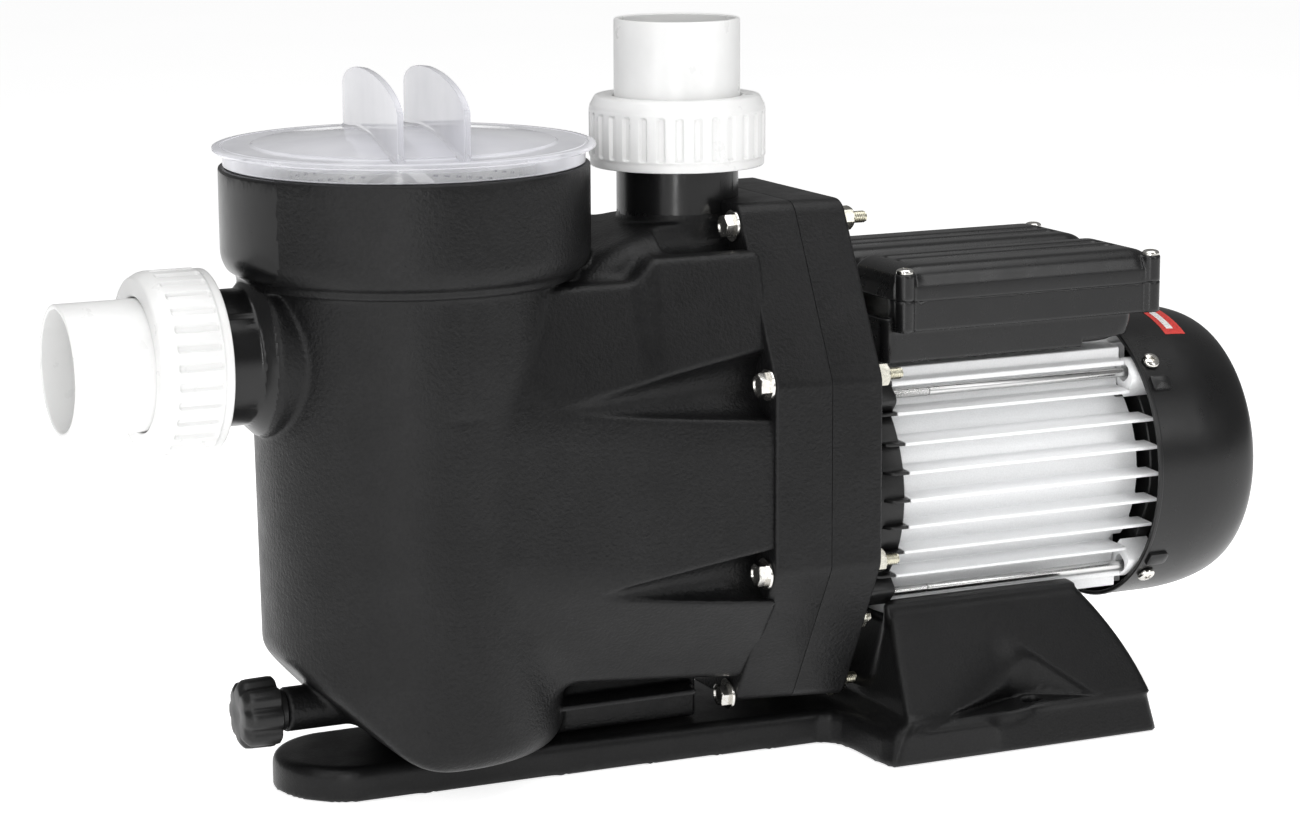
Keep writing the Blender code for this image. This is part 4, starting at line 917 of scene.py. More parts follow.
def build_basket():
    """White moulded basket: perforated wall and floor, stiff rim, upstand and bail."""
    bm = bmesh.new()

    def wall(r0, z0, r1, z1, nt, nz, pat):
        vs = [[bm.verts.new((PX + (r0 + (r1 - r0) * k / nz) * math.cos(2 * math.pi * i / nt),
                             (r0 + (r1 - r0) * k / nz) * math.sin(2 * math.pi * i / nt), z0 + (z1 - z0) * k / nz))
               for i in range(nt)] for k in range(nz + 1)]
        for k in range(nz):
            for i in range(nt):
                if pat(i, k):
                    continue
                j = (i + 1) % nt
                bm.faces.new((vs[k][i], vs[k][j], vs[k + 1][j], vs[k + 1][i]))
        return vs
    nt = 144
    # main wall with rows of short upright slots
    wall(52.2, 63.0, 60.2, 262.0, nt, 66, lambda i, k: 3 <= k < 62 and k % 4 != 3 and (i + 2 * ((k // 4) % 2)) % 4 in (0,) )
    wall(66.9, 266.4, 66.9, 285.6, nt, 15, lambda i, k: k % 3 == 1 and (i + (k // 3) % 2) % 2 == 0)
    ob = bm_object("basket_wall_shell", bm, M_BASKET, 30.0)
    sol = ob.modifiers.new("wall", "SOLIDIFY")
    sol.thickness = 1.7 * MM
    sol.offset = 0.0
    apply_mod(ob)
    smooth(ob.data, 30.0)
    hole = lathe("c", [(0, -215), (27, -215), (27, -150), (0, -150)], 48, M_BASKET, "X", (0, 0, 206.5))
    boolean(ob, hole)
    place(ob, "basket", ["strainer_basket"])
    # floor with holes
    bm = bmesh.new()
    m = 40
    grid = {}
    for i in range(m + 1):
        for j in range(m + 1):
            x, y = (i - m / 2) * 2.6, (j - m / 2) * 2.6
            if math.hypot(x, y) < 51.8:
                grid[i, j] = bm.verts.new((PX + x, y, 61.3))
    for i in range(m):
        for j in range(m):
            q = [grid.get(p) for p in ((i, j), (i + 1, j), (i + 1, j + 1), (i, j + 1))]
            if None in q or (i % 2 == 1 and j % 2 == 1 and math.hypot((i + .5 - m / 2) * 2.6, (j + .5 - m / 2) * 2.6) < 44):
                continue
            bm.faces.new(q)
    fl = bm_object("basket_floor_shell", bm, M_BASKET)
    sol = fl.modifiers.new("wall", "SOLIDIFY")
    sol.thickness = 2.2 * MM
    sol.offset = 0.0
    apply_mod(fl)
    place(fl, "basket", ())
    prof = [(48.0, 60.1), (51.0, 60.0), (53.4, 61.6), (54.0, 64.0), (53.4, 64.6), (51.6, 64.6), (50.6, 63.0), (48.0, 62.6)]
    place(lathe("basket_heel_shell", prof, 96, M_BASKET, "Z", PC), "basket", ())
    prof = [(61.3, 262.6), (67.5, 262.4), (68.0, 262.9), (68.0, 266.5), (67.6, 266.9), (66.2, 266.9), (65.8, 266.3), (65.6, 265.6),
            (60.0, 265.3), (59.4, 264.6), (59.3, 261.0), (60.1, 260.6), (60.8, 261.0)]
    place(lathe("basket_rim_shell", prof, 128, M_BASKET, "Z", PC), "basket", ())
    prof = [(66.0, 285.2), (67.8, 285.2), (68.0, 285.6), (68.0, 286.6), (67.6, 287.0), (66.2, 287.0), (65.8, 286.6), (65.8, 285.6)]
    place(lathe("basket_crown_shell", prof, 128, M_BASKET, "Z", PC), "basket", ())
    loops = []
    for a in range(0, 181, 4):
        c_, s_ = math.cos(math.radians(a)), math.sin(math.radians(a))
        ring = []
        for u, w in ((-4, -1.6), (-3.4, -2), (3.4, -2), (4, -1.6), (4, 1.6), (3.4, 2), (-3.4, 2), (-4, 1.6)):
            ring.append((PX + u, (57.6 + w) * c_, 258 + (28 + w) * s_))
        loops.append(ring)
    place(loft("basket_bail_shell", loops, M_BASKET), "basket", ())


build_lid()
build_basket()


# --------------------------------------------------------------------------
# drain knob
# --------------------------------------------------------------------------
def build_knob():
    n = 192
    rows = [(-226.5, 5.0, 0.0), (-226.5, 10.6, 0.5), (-226.2, 12.0, 0.75), (-225.4, 13.2, 0.95), (-224.2, 14.6, 1.05), (-223.4, 15.1, 1.1),
            (-221.0, 15.35, 1.15), (-211.0, 15.6, 1.15), (-209.4, 15.4, 1.1), (-208.6, 14.6, 0.9), (-208.4, 13.6, 0.6), (-208.4, 9.9, 0.0),
            (-208.1, 9.6, 0.0), (-204.7, 9.6, 0.0), (-204.4, 9.3, 0.0), (-204.4, 5.7, 0.0), (-186.6, 5.7, 0.0), (-186.0, 5.2, 0.0)]
    bm = bmesh.new()
    rings = []
    for x, r, lobe in rows:
        ring = []
        for i in range(n):
            a = 2 * math.pi * i / n
            c8 = math.cos(8 * a)
            f = 1.0 - 2.0 * (0.5 - 0.5 * c8) ** 2.2
            rr = r + 0.95 * lobe * f
            ring.append(bm.verts.new((x, rr * math.cos(a), 38.5 + rr * math.sin(a))))
        rings.append(ring)
    for a, b in zip(rings, rings[1:]):
        for i in range(n):
            j = (i + 1) % n
            bm.faces.new((a[i], a[j], b[j], b[i]))
    c0 = bm.verts.new((-225.6, 0, 38.5))
    for i in range(n):
        bm.faces.new((rings[0][i], rings[0][(i + 1) % n], c0))
    bm.faces.new(rings[-1])
    ob = bm_object("drain_knob_shell", bm, M_KNOB, 28.0)
    return place(ob, "drain", ["drain_plug"])


build_knob()


# --------------------------------------------------------------------------
# fasteners
# --------------------------------------------------------------------------
def tri(t):
    t = t % 1.0
    return 2 * t if t < 0.5 else 2 - 2 * t


def add_screw_thread(bm, x0, x1, r, depth, pitch, cy, cz, n=20):
    m = max(4, int((x1 - x0) / (pitch / 4)))
    rings = []
    for k in range(m + 1):
        x = x0 + (x1 - x0) * k / m
        fade = min(1.0, (m - k) / 4.0)
        ring = []
        for i in range(n):
            a = 2 * math.pi * i / n
            rr = (r - depth * tri(x / pitch - i / n)) - (1 - fade) * 0.45
            ring.append(bm.verts.new((x, cy + rr * math.cos(a), cz + rr * math.sin(a))))
        rings.append(ring)
    for a, b in zip(rings, rings[1:]):
        for i in range(n):
            j = (i + 1) % n
            bm.faces.new((a[i], a[j], b[j], b[i]))
    bm.faces.new(rings[0][::-1])
    bm.faces.new(rings[-1])


def add_hex(bm, x0, x1, af, cy, cz, chamfer_lo, chamfer_hi, dish=0.0, bore=0.0, ph=0.0):
    """Hexagon prism along X with rounded-off corners where the chamfer cone cuts it."""
    n = 60
    h = x1 - x0
    ac = af / 2 / math.cos(math.pi / 6)

    def cone(x):
        lim = ac
        if chamfer_lo:
            lim = min(lim, af / 2 - 0.15 + (x - x0) * 1.75)
        if chamfer_hi:
            lim = min(lim, af / 2 - 0.15 + (x1 - x) * 1.75)
        return lim
    xs = sorted({x0, x1, *[x0 + h * t for t in (0.03, 0.07, 0.12, 0.2, 0.5, 0.8, 0.88, 0.93, 0.97)]})
    rings = []
    for x in xs:
        ring = []
        for i in range(n):
            a = 2 * math.pi * i / n
            b = ((a + math.pi / 6) % (math.pi / 3)) - math.pi / 6
            rr = min(af / 2 / math.cos(b), cone(x))
            ring.append(bm.verts.new((x, cy + rr * math.cos(a + ph), cz + rr * math.sin(a + ph))))
        rings.append(ring)
    if dish:
        for x, r in ((x0, af * 0.40), (x0 + dish, af * 0.33), (x0 + dish, 0.05)):
            rings.insert(0, [bm.verts.new((x, cy + r * math.cos(2 * math.pi * i / n + ph), cz + r * math.sin(2 * math.pi * i / n + ph))) for i in range(n)])
    for a, b in zip(rings, rings[1:]):
        for i in range(n):
            j = (i + 1) % n
            bm.faces.new((a[i], a[j], b[j], b[i]))
    bm.faces.new(rings[0][::-1])
    bm.faces.new(rings[-1])


def add_washer(bm, x0, x1, r, ri, cy, cz, n=40):
    e = 0.18
    prof = [(ri, x0), (r - e, x0), (r, x0 + e), (r, x1 - e), (r - e, x1), (ri, x1)]
    add_lathe(bm, prof, n, "X", (0, cy, cz))


def fastener_set():
    for side, s in (("near", -1), ("far", 1)):
        for k, (by, bz) in enumerate(BOLTS):
            cy, cz = s * by, SZ + bz
            ph = 0.35 + 0.7 * k + (0.2 if s > 0 else 0)
            bm = bmesh.new()
            add_hex(bm, 3.7, 8.4, 10.0, cy, cz, True, False, 0.7, 0, ph)
            add_lathe(bm, [(0, 8.4), (2.9, 8.4), (2.9, 64.0), (0, 64.0)], 24, "X", (0, cy, cz))
            add_washer(bm, 8.42, 9.7, 7.5, 3.1, cy, cz)
            ob = bm_object("bolt_shell_%s_%d" % (side, k + 1), bm, M_STEEL, 30)
            place(ob, "root", ["casing_bolt_%s_%d" % (side, k + 1)])
            bm = bmesh.new()
            add_screw_thread(bm, 64.0, 79.6, 2.98, 0.42, 1.0, cy, cz)
            place(bm_object("bolt_thread_%s_%d" % (side, k + 1), bm, M_THREAD, 40), "root", ())
            bm = bmesh.new()
            add_washer(bm, 63.8, 65.2, 7.5, 3.1, cy, cz)
            add_hex(bm, 65.22, 71.6, 10.2, cy, cz, True, True, 0.0, 0, ph + 0.4)
            place(bm_object("nut_shell_%s_%d" % (side, k + 1), bm, M_ZINC, 30), "root",
                  ["casing_nut_%s_%d" % (side, k + 1)])
    # small studs that tie the motor bracket to the plate
    for s in (-1, 1):
        bm = bmesh.new()
        cy, cz = s * 60.0, SZ - 56.0
        add_washer(bm, 63.6, 64.8, 6.0, 2.4, cy, cz)
        add_hex(bm, 64.82, 69.6, 8.0, cy, cz, True, True, 0.0, 0, 0.5)
        add_screw_thread(bm, 63.6, 73.0, 2.4, 0.35, 0.8, cy, cz)
        place(bm_object("plate_stud_%s" % ("near" if s < 0 else "far"), bm, M_ZINC, 30), "root", ())


fastener_set()
CORNER = math.atan2(49.0, 46.0)
CORNERS = [(-1, -1, "near_low"), (-1, 1, "near_high"), (1, -1, "far_low"), (1, 1, "far_high")]


def tie_rods():
    for sy, sz, nm in CORNERS:
        cy, cz = sy * 46.0, SZ + sz * 49.0
        bm = bmesh.new()
        add_screw_thread(bm, 72.0, 112.0, 2.45, 0.34, 0.8, cy, cz, 20)
        add_lathe(bm, [(0, 112.0), (2.2, 112.0), (2.3, 112.6), (2.3, 229.0), (1.8, 230.0), (0, 230.0)], 24, "X", (0, cy, cz))
        place(bm_object("tie_rod_shell_" + nm, bm, M_ROD, 40), "root", ["tie_rod_" + nm])


tie_rods()


# --------------------------------------------------------------------------
# motor
# --------------------------------------------------------------------------
def corner_poly(poly, sy, sz):
    cy, cz = math.cos(CORNER) * sy, math.sin(CORNER) * sz
    return [(cy * u - cz * v, SZ + cz * u + cy * v) for u, v in poly]


def prism_x(poly, x0, x1):
    return [[(x0, y, z) for y, z in poly], [(x1, y, z) for y, z in poly]]


def front_bracket():
    prof = [(8.8, 63.8), (21.2, 63.8), (21.6, 64.2), (21.6, 69.4), (22.2, 70.0), (54.6, 70.0), (56.6, 71.0), (59.3, 76.6), (60.0, 78.6),
            (60.0, 91.5), (59.5, 92.0), (45.5, 92.0), (45.5, 97.0), (18.0, 97.0), (18.0, 79.0), (8.8, 79.0)]
    ob = lathe("front_bracket_shell", prof, 120, M_PAINT, "X", SC)
    for sy, sz, nm in CORNERS:
        poly = corner_poly(round_poly([(50, -7), (71, -7), (71, 7), (50, 7)], [0, 4, 4, 0], 4), sy, sz)
        e = loft("c", prism_x(poly, 74.0, 91.6), M_PAINT)
        bevel(e, 0.8, 2, 40)
        boolean(ob, e, "UNION")
    for sy, sz, nm in CORNERS:
        boolean(ob, cyl_ob("X", (0, sy * 46.0, SZ + sz * 49.0), 2.8, 60, 100, 24))
    # short blades that meet the ends of the cooling fins
    for s in (-1, 1):
        for k in range(-3, 4):
            z = k * 13.3
            tip = math.sqrt(65.0 ** 2 - z * z)
            root = math.sqrt(57.0 ** 2 - z * z)
            pts = [(79.0, root), (82.5, tip - 1.5), (85.0, tip), (92.1, tip), (92.1, root)]
            loops = [[(x, s * y, SZ + z + dz) for x, y in pts] for dz in (-0.75, 0.75)]
            b = loft("c", loops, M_PAINT)
            bevel(b, 0.3, 2, 40)
            boolean(ob, b, "UNION")
    smooth(ob.data, 30)
    return place(ob, "root", ["front_bracket"])


def housing_outline():
    pts, rr = [], []
    t = 0.85
    for k in range(4):
        z = k * 13.3
        tip = math.sqrt(65.4 ** 2 - z ** 2)
        lo = math.sqrt(52.0 ** 2 - max(z - 1.5, 0.0) ** 2)
        hi = math.sqrt(52.0 ** 2 - (z + 1.5) ** 2)
        if k:
            pts += [(lo, z - 1.5), (tip, z - t)]
            rr += [1.2, 0.6]
        pts += [(tip, z + t), (hi, z + 1.5)]
        rr += [0.6, 1.2]
        if k < 3:                                # curved wall between the fins
            for f in (0.25, 0.5, 0.75):
                zz = z + 1.5 + f * (13.3 - 3.0)
                pts.append((math.sqrt(52.0 ** 2 - zz ** 2), zz))
                rr.append(0)
    pts[-1] = (39.5, 41.6)
    rr[-1] = 0.8
    pts += [(37.5, 52.2), (46.0, 52.2), (46.0, 55.0), (41.0, 55.6), (41.0, 61.0), (28.0, 61.4), (28.0, 64.3)]
    rr += [2.5, 1.0, 1.0, 1.5, 1.2, 1.0, 0.4]
    top = pts + [(-y, z) for y, z in pts[::-1]]
    rt = rr + rr[::-1]
    low = [(y, -z) for y, z in pts]
    rl = list(rr)
    low[-2:] = [(28.0, -61.9)]
    rl[-2:] = [0.8]
    out = top + [(-y, z) for y, z in low] + low[::-1]
    ro = rt + rl + rl[::-1]
    cp, cr = [], []
    for p, r in zip(out, ro):
        if not cp or math.hypot(p[0] - cp[-1][0], p[1] - cp[-1][1]) > 1e-6:
            cp.append(p)
            cr.append(r)
    if math.hypot(cp[0][0] - cp[-1][0], cp[0][1] - cp[-1][1]) < 1e-6:
        cp.pop()
        cr.pop()
    return round_poly(cp, cr, 3)


def motor_housing():
    poly = [(y, SZ + z) for y, z in housing_outline()]
    ob = loft("motor_housing_shell", prism_x(poly, 92.3, 233.0), M_SILVER)
    boolean(ob, cyl_ob("X", SC, 46.0, 80, 250, 80))
    # the wall stops short of the fin ends
    ring = lathe("c", [(40, 228.4), (53.2, 228.4), (53.2, 240), (40, 240)], 96, M_SILVER, "X", SC)
    boolean(ob, ring)
    for sy, sz, nm in CORNERS:
        y0, y1 = sorted((sy * 31.5, sy * 80.0))
        z0, z1 = sorted((SZ + sz * 35.0, SZ + sz * 80.0))
        cut = loft("c", prism_x([(y0, z0), (y1, z0), (y1, z1), (y0, z1)], 223.5, 240), M_SILVER)
        boolean(ob, cut)
    smooth(ob.data, 28)
    return place(ob, "root", ["motor_housing"])


def rear_bracket():
    prof = [(8.8, 247), (22, 247), (22, 241), (56.4, 241), (57, 240.4), (57, 233.9), (56.4, 233.3), (45.5, 233.3), (45.5, 228),
            (18.0, 228), (18.0, 244), (8.8, 244)]
    # painted shade: the ring takes the black bracket enamel so that it reads dark between the fin ends, standing in for
    # the shade inside the cowl
    ob = lathe("rear_bracket_shell", prof, 120, [M_PAINT], "X", SC)
    place(ob, "root", ["rear_bracket"])
    for sy, sz, nm in CORNERS:
        e1 = loft("rear_ear_" + nm, prism_x(corner_poly(round_poly([(57.2, -8.2), (71.0, -8.2), (71.0, 8.2), (57.2, 8.2)], [0, 4.5, 4.5, 0], 3), sy, sz),
                                            224.0, 240.0), M_SILVER)
        bevel(e1, 0.5, 2, 40)
        boolean(e1, cyl_ob("X", (0, sy * 46.0, SZ + sz * 49.0), 3.7, 218, 231.0, 28))
        slot = loft("c", prism_x(corner_poly(round_poly([(62.0, -3.4), (69.2, -3.4), (69.2, 3.4), (62.0, 3.4)], [3.3, 3.3, 3.3, 3.3], 4), sy, sz), 218, 232.5), M_SILVER)
        boolean(e1, slot)
        place(e1, "root", ())


def fan_cover():
    # rolled lip, straight drum, rounded shoulder, flat slotted end
    prof = [(71.8, 228.3), (72.2, 228.0), (73.5, 228.0), (74.0, 228.5), (74.0, 229.8), (73.7, 230.3), (73.7, 251.0)]
    prof += [(61.3 + 12.4 * math.cos(math.radians(a)), 252 + 39.0 * math.sin(math.radians(a))) for a in range(0, 91, 5)]
    prof += [(56.0, 290.8), (55.4, 290.2), (54.0, 290.2), (53.4, 290.8), (17.0, 291.0), (16.4, 290.4), (15.0, 290.4), (14.4, 291.0), (0, 291.0), (0, 288.6)]
    prof += [(59.8 + 12.0 * math.cos(math.radians(a)), 252 + 36.6 * math.sin(math.radians(a))) for a in range(90, -1, -5)]
    ob = lathe("fan_cover_shell", prof, 160, M_COWL, "X", SC, 0.0, 25)
    bm = bmesh.new()
    for k in range(10):
        a = 2 * math.pi * (k + 0.5) / 10
        ca, sa = math.cos(a), math.sin(a)
        sq = round_poly([(20, -2.5), (52, -5.2), (52, 5.2), (20, 2.5)], [2.2, 4.5, 4.5, 2.2], 4)
        add_loft(bm, prism_x([(ca * u - sa * v, SZ + sa * u + ca * v) for u, v in sq], 280, 300))
    boolean(ob, bm_object("c", bm, M_COWL))
    bm = bmesh.new()
    for sy, sz, nm in CORNERS:
        cy, cz = math.cos(CORNER) * sy, math.sin(CORNER) * sz
        loops = []
        for u in (60.0, 90.0):
            loops.append([(236.0 + 2.5 * math.cos(math.pi * i / 8), cy * u - cz * 2.5 * math.sin(math.pi * i / 8),
                           SZ + cz * u + cy * 2.5 * math.sin(math.pi * i / 8)) for i in range(16)])
        add_loft(bm, loops)
    boolean(ob, bm_object("c", bm, M_COWL))
    smooth(ob.data, 25)
    place(ob, "root", ["fan_cover"])
    # small raised pads beside the screws
    for sy, sz, nm in CORNERS:
        ang = math.radians(37.0)
        cy, cz = sy * math.cos(ang), sz * math.sin(ang)
        ty, tz = -cz, cy
        loops = []
        for u, g in ((72.6, 0.0), (75.0, 0.0), (75.6, 0.9)):
            pts = round_poly([(231.6 + g, -3.9 + g), (242.4 - g, -3.9 + g), (242.4 - g, 3.9 - g), (231.6 + g, 3.9 - g)], [0.8, 2.5, 2.5, 0.8], 4)
            loops.append([(x, cy * u + ty * v, SZ + cz * u + tz * v) for x, v in pts])
        place(loft("cowl_pad_" + nm, loops, M_COWL, 40), "root", ())
    # sticker, plain
    def patch(name, x0, x1, a0, a1, lift, mat):
        bm = bmesh.new()
        na, nx = 12, 8
        rows = []
        for lev in (0.0, lift):
            grid = []
            for i in range(nx + 1):
                x = x0 + (x1 - x0) * i / nx
                if x <= 252:
                    r = 73.7
                else:
                    sn = (x - 252) / 39.0
                    r = 61.3 + 12.4 * math.sqrt(1 - sn * sn)
                col = []
                for j in range(na + 1):
                    a = math.radians(a0 + (a1 - a0) * j / na)
                    col.append(bm.verts.new((x, -(r + 0.02 + lev) * math.cos(a), SZ + (r + 0.02 + lev) * math.sin(a))))
                grid.append(col)
            rows.append(grid)
        for i in range(nx):
            for j in range(na):
                bm.faces.new((rows[1][i][j], rows[1][i + 1][j], rows[1][i + 1][j + 1], rows[1][i][j + 1]))
                bm.faces.new((rows[0][i][j + 1], rows[0][i + 1][j + 1], rows[0][i + 1][j], rows[0][i][j]))
        for i in range(nx):
            for j, o in ((0, 1), (na, -1)):
                bm.faces.new((rows[0][i][j], rows[0][i + 1][j], rows[1][i + 1][j], rows[1][i][j])[::o])
        for j in range(na):
            for i, o in ((0, -1), (nx, 1)):
                bm.faces.new((rows[0][i][j], rows[0][i][j + 1], rows[1][i][j + 1], rows[1][i][j])[::o])
        return bm_object(name, bm, mat, 50)
    place(patch("cowl_sticker", 254.2, 266.2, 60.6, 84.0, 0.16, M_RED), "root", ())
    place(patch("cowl_sticker_bar", 257.2, 261.2, 64.0, 80.0, 0.24, M_BAR), "root", ())


def add_pan_screw(name, pos, nrm, r, dome, body, nodes, shank, rot=0.3):
    """Dome-headed cross-recess screw with its head's underside at pos, pointing along nrm."""
    prof = [(0, -shank), (r * 0.42, -shank), (r * 0.42, 0.0), (r * 0.96, 0.0), (r, 0.15), (r, dome * 0.34)]
    for k in range(1, 9):
        t = k / 8 * math.pi / 2
        prof.append((r * (math.cos(t) ** 0.75) if k < 8 else 0.0, dome * 0.34 + dome * 0.66 * math.sin(t)))
    ob = lathe(name, prof, 48, M_STEEL, "Z")
    bm = bmesh.new()
    for q in (0, 1):
        a = rot + q * math.pi / 2
        ca, sa = math.cos(a), math.sin(a)
        for lw, ww, z0, z1 in ((0.50 * r, 0.11 * r, dome * 0.36, dome + 0.6),):
            loops = []
            for z, f in ((z0, 0.55), (z1, 1.15)):
                loops.append([(ca * u * f - sa * v, sa * u * f + ca * v, z) for u, v in ((-lw, -ww), (lw, -ww), (lw, ww), (-lw, ww))])
            add_loft(bm, loops)
            if q == 0:
                boolean(ob, bm_object("c", bm, M_STEEL))
                bm = bmesh.new()
    boolean(ob, bm_object("c", bm, M_STEEL))
    zv = Vector(nrm).normalized()
    xv = zv.orthogonal().normalized()
    yv = zv.cross(xv)
    M = Matrix(((xv.x, yv.x, zv.x, pos[0] * MM), (xv.y, yv.y, zv.y, pos[1] * MM), (xv.z, yv.z, zv.z, pos[2] * MM), (0, 0, 0, 1)))
    ob.data.transform(M)
    smooth(ob.data, 35)
    return place(ob, body, nodes)


def cover_screws():
    for sy, sz, nm in CORNERS:
        cy, cz = math.cos(CORNER) * sy, math.sin(CORNER) * sz
        add_pan_screw("cowl_screw_shell_" + nm, (236.0, cy * 74.2, SZ + cz * 74.2), (0, cy, cz), 4.4, 2.6, "root",
                      ["fan_cover_screw_" + nm], 10.0, 0.5)
    for (px, py), nm in zip([(93.4, -55.5), (231.6, -55.5), (93.4, 55.5), (231.6, 55.5)], ("near_front", "near_rear", "far_front", "far_rear")):
        add_pan_screw("box_screw_shell_" + nm, (px, py, SZ + 108.7), (0, 0, 1), 4.3, 2.7, "root", ["box_screw_" + nm], 22.0, 0.8)


front_bracket()
motor_housing()
rear_bracket()
fan_cover()
cover_screws()


# --------------------------------------------------------------------------
# terminal box
# --------------------------------------------------------------------------
POSTS = [(93.4, -55.5), (231.6, -55.5), (93.4, 55.5), (231.6, 55.5)]


def plan_box(x, y, x0, x1, hy, r):
    qx = np.abs(x - 0.5 * (x0 + x1)) - 0.5 * (x1 - x0) + r
    qy = np.abs(y) - hy + r
    return np.minimum(np.maximum(qx, qy), 0) + np.sqrt(np.maximum(qx, 0) ** 2 + np.maximum(qy, 0) ** 2) - r


def box_field(x, y, z):
    z = z - SZ
    up = rbox2(plan_box(x, y, 90.5, 234.5, 57.0, 4.0), np.abs(z - 90.0) - 9.7, 0.7)
    lo = plan_box(x, y, 86.0, 226.5, 50.0, 6.0)
    lo = smax(lo, 64.6 - z, 1.0)
    lo = smax(lo, (x - 226.5) * 0.70711 + (67.5 - z) * 0.70711, 10.0)
    lo = smax(lo, z - 86.0, 0.5)
    f = smin(lo, up, 1.6)
    for px, py in POSTS:
        f = smin(f, rbox2(rad(x - px, y - py) - 4.8, np.abs(z - 90.0) - 9.6, 0.7), 1.2)
    f = smax(f, z - 95.9, 0.15)
    f = smax(f, -smax(smax(197.0 - x, z - 68.4, 0.3), 40.0 - np.abs(y), 0.3), 0.6)
    cav = rbox2(plan_box(x, y, 90.0, 222.5, 46.0, 5.0), np.abs(z - 84.0) - 14.5, 1.0)
    cav2 = rbox2(plan_box(x, y, 99.5, 226.0, 50.5, 4.0), np.abs(z - 90.5) - 7.0, 1.0)
    f = smax(f, -np.minimum(cav, cav2), 0.6)
    f = smax(f, -cyl(rad(x - 190.0, z - 71.9), y, 5.95, 40.0, 56.0, 0.2), 0.4)
    return f


def hump_field(x, y, z, cy, hw, x0, x1, zt, rd, e):
    qx = np.abs(x - 0.5 * (x0 + x1)) - 0.5 * (x1 - x0) + e
    qy = np.abs(y - cy) - hw + rd
    qz = z - zt + rd
    # ends fall away with a longer radius than the sides
    qxs = qx * (rd / e)
    return (np.sqrt(np.maximum(qxs, 0) ** 2 + np.maximum(qy, 0) ** 2 + np.maximum(qz, 0) ** 2) + np.minimum(np.maximum(np.maximum(qxs, qy), qz), 0) - rd) * 0.9


def cover_field(x, y, z):
    z = z - SZ
    ay = np.abs(y)
    f = rbox2(plan_box(x, y, 90.5, 234.5, 57.0, 4.0), np.abs(z - 97.0) - 6.0, 1.6)
    hm = hump_field(x, ay, z, 30.4, 26.5, 91.0, 234.0, 111.9, 8.0, 13.0)
    hm = smax(hm, 96.0 - z, 0.5)
    for g in (-9.0, 3.6):
        gx = np.maximum(np.abs(x - 162.5) - 58.0, 0)
        gr = np.sqrt(gx * gx + (ay - 30.4 - g) ** 2 + ((z - 113.6) * 1.0) ** 2) - 3.7
        hm = smax(hm, -gr, 1.4)
    f = smin(f, hm, 3.0)
    for px, py in POSTS:
        f = smin(f, rbox2(rad(x - px, y - py) - 4.8, np.abs(z - 102.1) - 6.5, 0.7), 1.4)
    f = smax(f, 94.9 - z, 0.15)
    cav = rbox2(plan_box(x, y, 99.5, 226.0, 50.5, 4.0), np.abs(z - 94.0) - 5.6, 1.0)
    ch = hump_field(x, ay, z, 28.2, 21.5, 101.0, 224.0, 109.0, 7.0, 11.0)
    f = smax(f, -np.minimum(cav, ch), 0.6)
    return f


def terminal_box():
    h = 1.05
    ob = field_mesh("terminal_box_shell", box_field, (84.0, -62.5, SZ + 62.5), (238.5, 62.5, SZ + 97.5), h, M_BOX, 0.3)
    place(ob, "root", ["terminal_box"])
    ob = field_mesh("terminal_cover_shell", cover_field, (86.0, -62.5, SZ + 93.5), (238.5, 62.5, SZ + 114.5), h, M_BOX, 0.3)
    place(ob, "root", ["terminal_box_cover"])


def gland():
    prof = [(4.0, 45.0), (5.6, 45.0), (5.6, 50.3), (6.6, 50.3), (7.9, 50.6), (7.9, 56.4), (7.5, 57.0), (6.9, 57.2), (6.6, 60.0),
            (6.2, 64.0), (5.4, 66.2), (4.6, 66.5), (4.0, 66.0)]

    def f(r, h, a):
        if 50.4 < h < 56.6 and r > 7.0:
            b = ((a + math.pi / 6) % (math.pi / 3)) - math.pi / 6
            return min(6.95 / math.cos(b), 7.9)
        return r
    ob = lathe("gland_shell", prof, 72, M_BOX, "Y", (190, 0, SZ + 71.9), 0.0, 30, f)
    place(ob, "root", ["cable_gland"])


build_casing()
build_plate()
build_base()
terminal_box()
gland()

# hidden or internal pieces keep their own solids with finer finishes
FIN = {"casing_o_ring": M_RUBBER, "lid_o_ring": M_RUBBER, "diffuser": M_WET, "impeller": M_WET, "cooling_fan": M_WET, "shaft": M_BRIGHT,
       "mechanical_seal_ring": M_RUBBER, "mechanical_seal_seat": M_CERAMIC, "stator_core": M_IRON, "rotor_core": M_IRON,
       "stator_winding": M_COPPER, "front_bearing": M_BRIGHT, "rear_bearing": M_BRIGHT, "run_capacitor": M_CAP, "start_capacitor": M_CAP}
for n, m in FIN.items():
    o = bpy.data.objects.get(n)
    if o is not None and o.type == "MESH":
        o.data.materials.clear()
        o.data.materials.append(m)

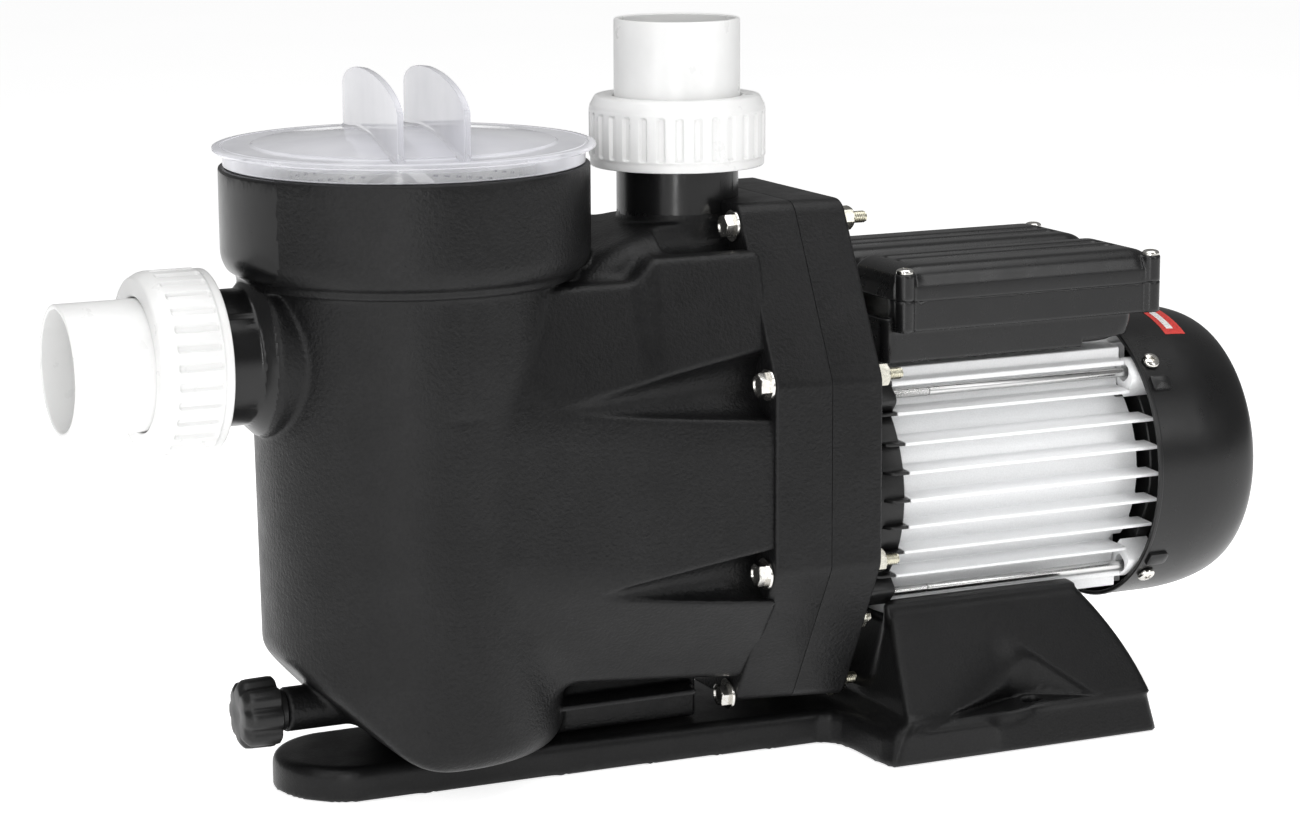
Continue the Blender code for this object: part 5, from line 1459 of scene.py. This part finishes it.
# --------------------------------------------------------------------------
# floor, lights and camera
# --------------------------------------------------------------------------
def build_stage():
    m, nt, b = new_material("pale_floor")
    n = noise(nt, 3.0, 3.0, 0.5)
    c = ramp(nt, n.outputs["Fac"], [(0.3, (0.90, 0.90, 0.90)), (0.7, (0.93, 0.93, 0.93))])
    nt.links.new(c.outputs["Color"], b.inputs["Base Color"])
    b.inputs["Roughness"].default_value = 0.7
    b.inputs["Specular IOR Level"].default_value = 0.2
    b.inputs["Emission Color"].default_value = (1.0, 1.0, 1.0, 1.0)
    b.inputs["Emission Strength"].default_value = 0.76
    me = bpy.data.meshes.new("floor")
    me.from_pydata([(-30, -30, -0.0005), (30, -30, -0.0005), (30, 30, -0.0005), (-30, 30, -0.0005)], [], [(0, 1, 2, 3)])
    ob = bpy.data.objects.new("floor", me)
    COL.objects.link(ob)
    me.materials.append(m)
    w = bpy.data.worlds.new("studio")
    bpy.context.scene.world = w
    w.use_nodes = True
    bg = w.node_tree.nodes["Background"]
    bg.inputs["Color"].default_value = (1.0, 1.0, 1.0, 1.0)
    bg.inputs["Strength"].default_value = 0.22


def area(name, loc, target, size, size_y, power):
    d = bpy.data.lights.new(name, "AREA")
    d.shape = "RECTANGLE"
    d.size = size
    d.size_y = size_y
    d.energy = power
    o = bpy.data.objects.new(name, d)
    COL.objects.link(o)
    o.location = loc
    v = Vector(target) - Vector(loc)
    o.rotation_euler = v.to_track_quat("-Z", "Y").to_euler()
    return o


build_stage()
area("key", (-1.35, -0.75, 0.75), (-0.1, 0, 0.15), 0.35, 1.1, 4.2)
area("strip", (-0.75, -1.35, 0.55), (-0.1, 0, 0.15), 0.10, 1.2, 6.0)
area("top", (0.0, -0.25, 1.7), (0.0, 0, 0.1), 2.2, 1.5, 23)
area("fill", (0.9, -1.3, 0.9), (0.1, 0, 0.15), 0.4, 0.9, 3.8)
bpy.context.scene.view_settings.view_transform = "Standard"

th, ph, ro = math.radians(25.0376), math.radians(11.0344), math.radians(-0.2946)
dv = Vector((math.sin(th) * math.cos(ph), math.cos(th) * math.cos(ph), -math.sin(ph)))
rv = Vector((math.cos(th), -math.sin(th), 0.0))
uv = rv.cross(dv)
r2 = rv * math.cos(ro) + uv * math.sin(ro)
u2 = -rv * math.sin(ro) + uv * math.cos(ro)
cd = bpy.data.cameras.new("camera")
cd.lens = 96.72
cd.sensor_width = 36.0
cd.clip_start = 0.05
cd.clip_end = 100.0
cam = bpy.data.objects.new("camera", cd)
COL.objects.link(cam)
cam.matrix_world = Matrix(((r2.x, u2.x, -dv.x, -0.7128), (r2.y, u2.y, -dv.y, -1.4939), (r2.z, u2.z, -dv.z, 0.4819), (0, 0, 0, 1)))
bpy.context.scene.camera = cam
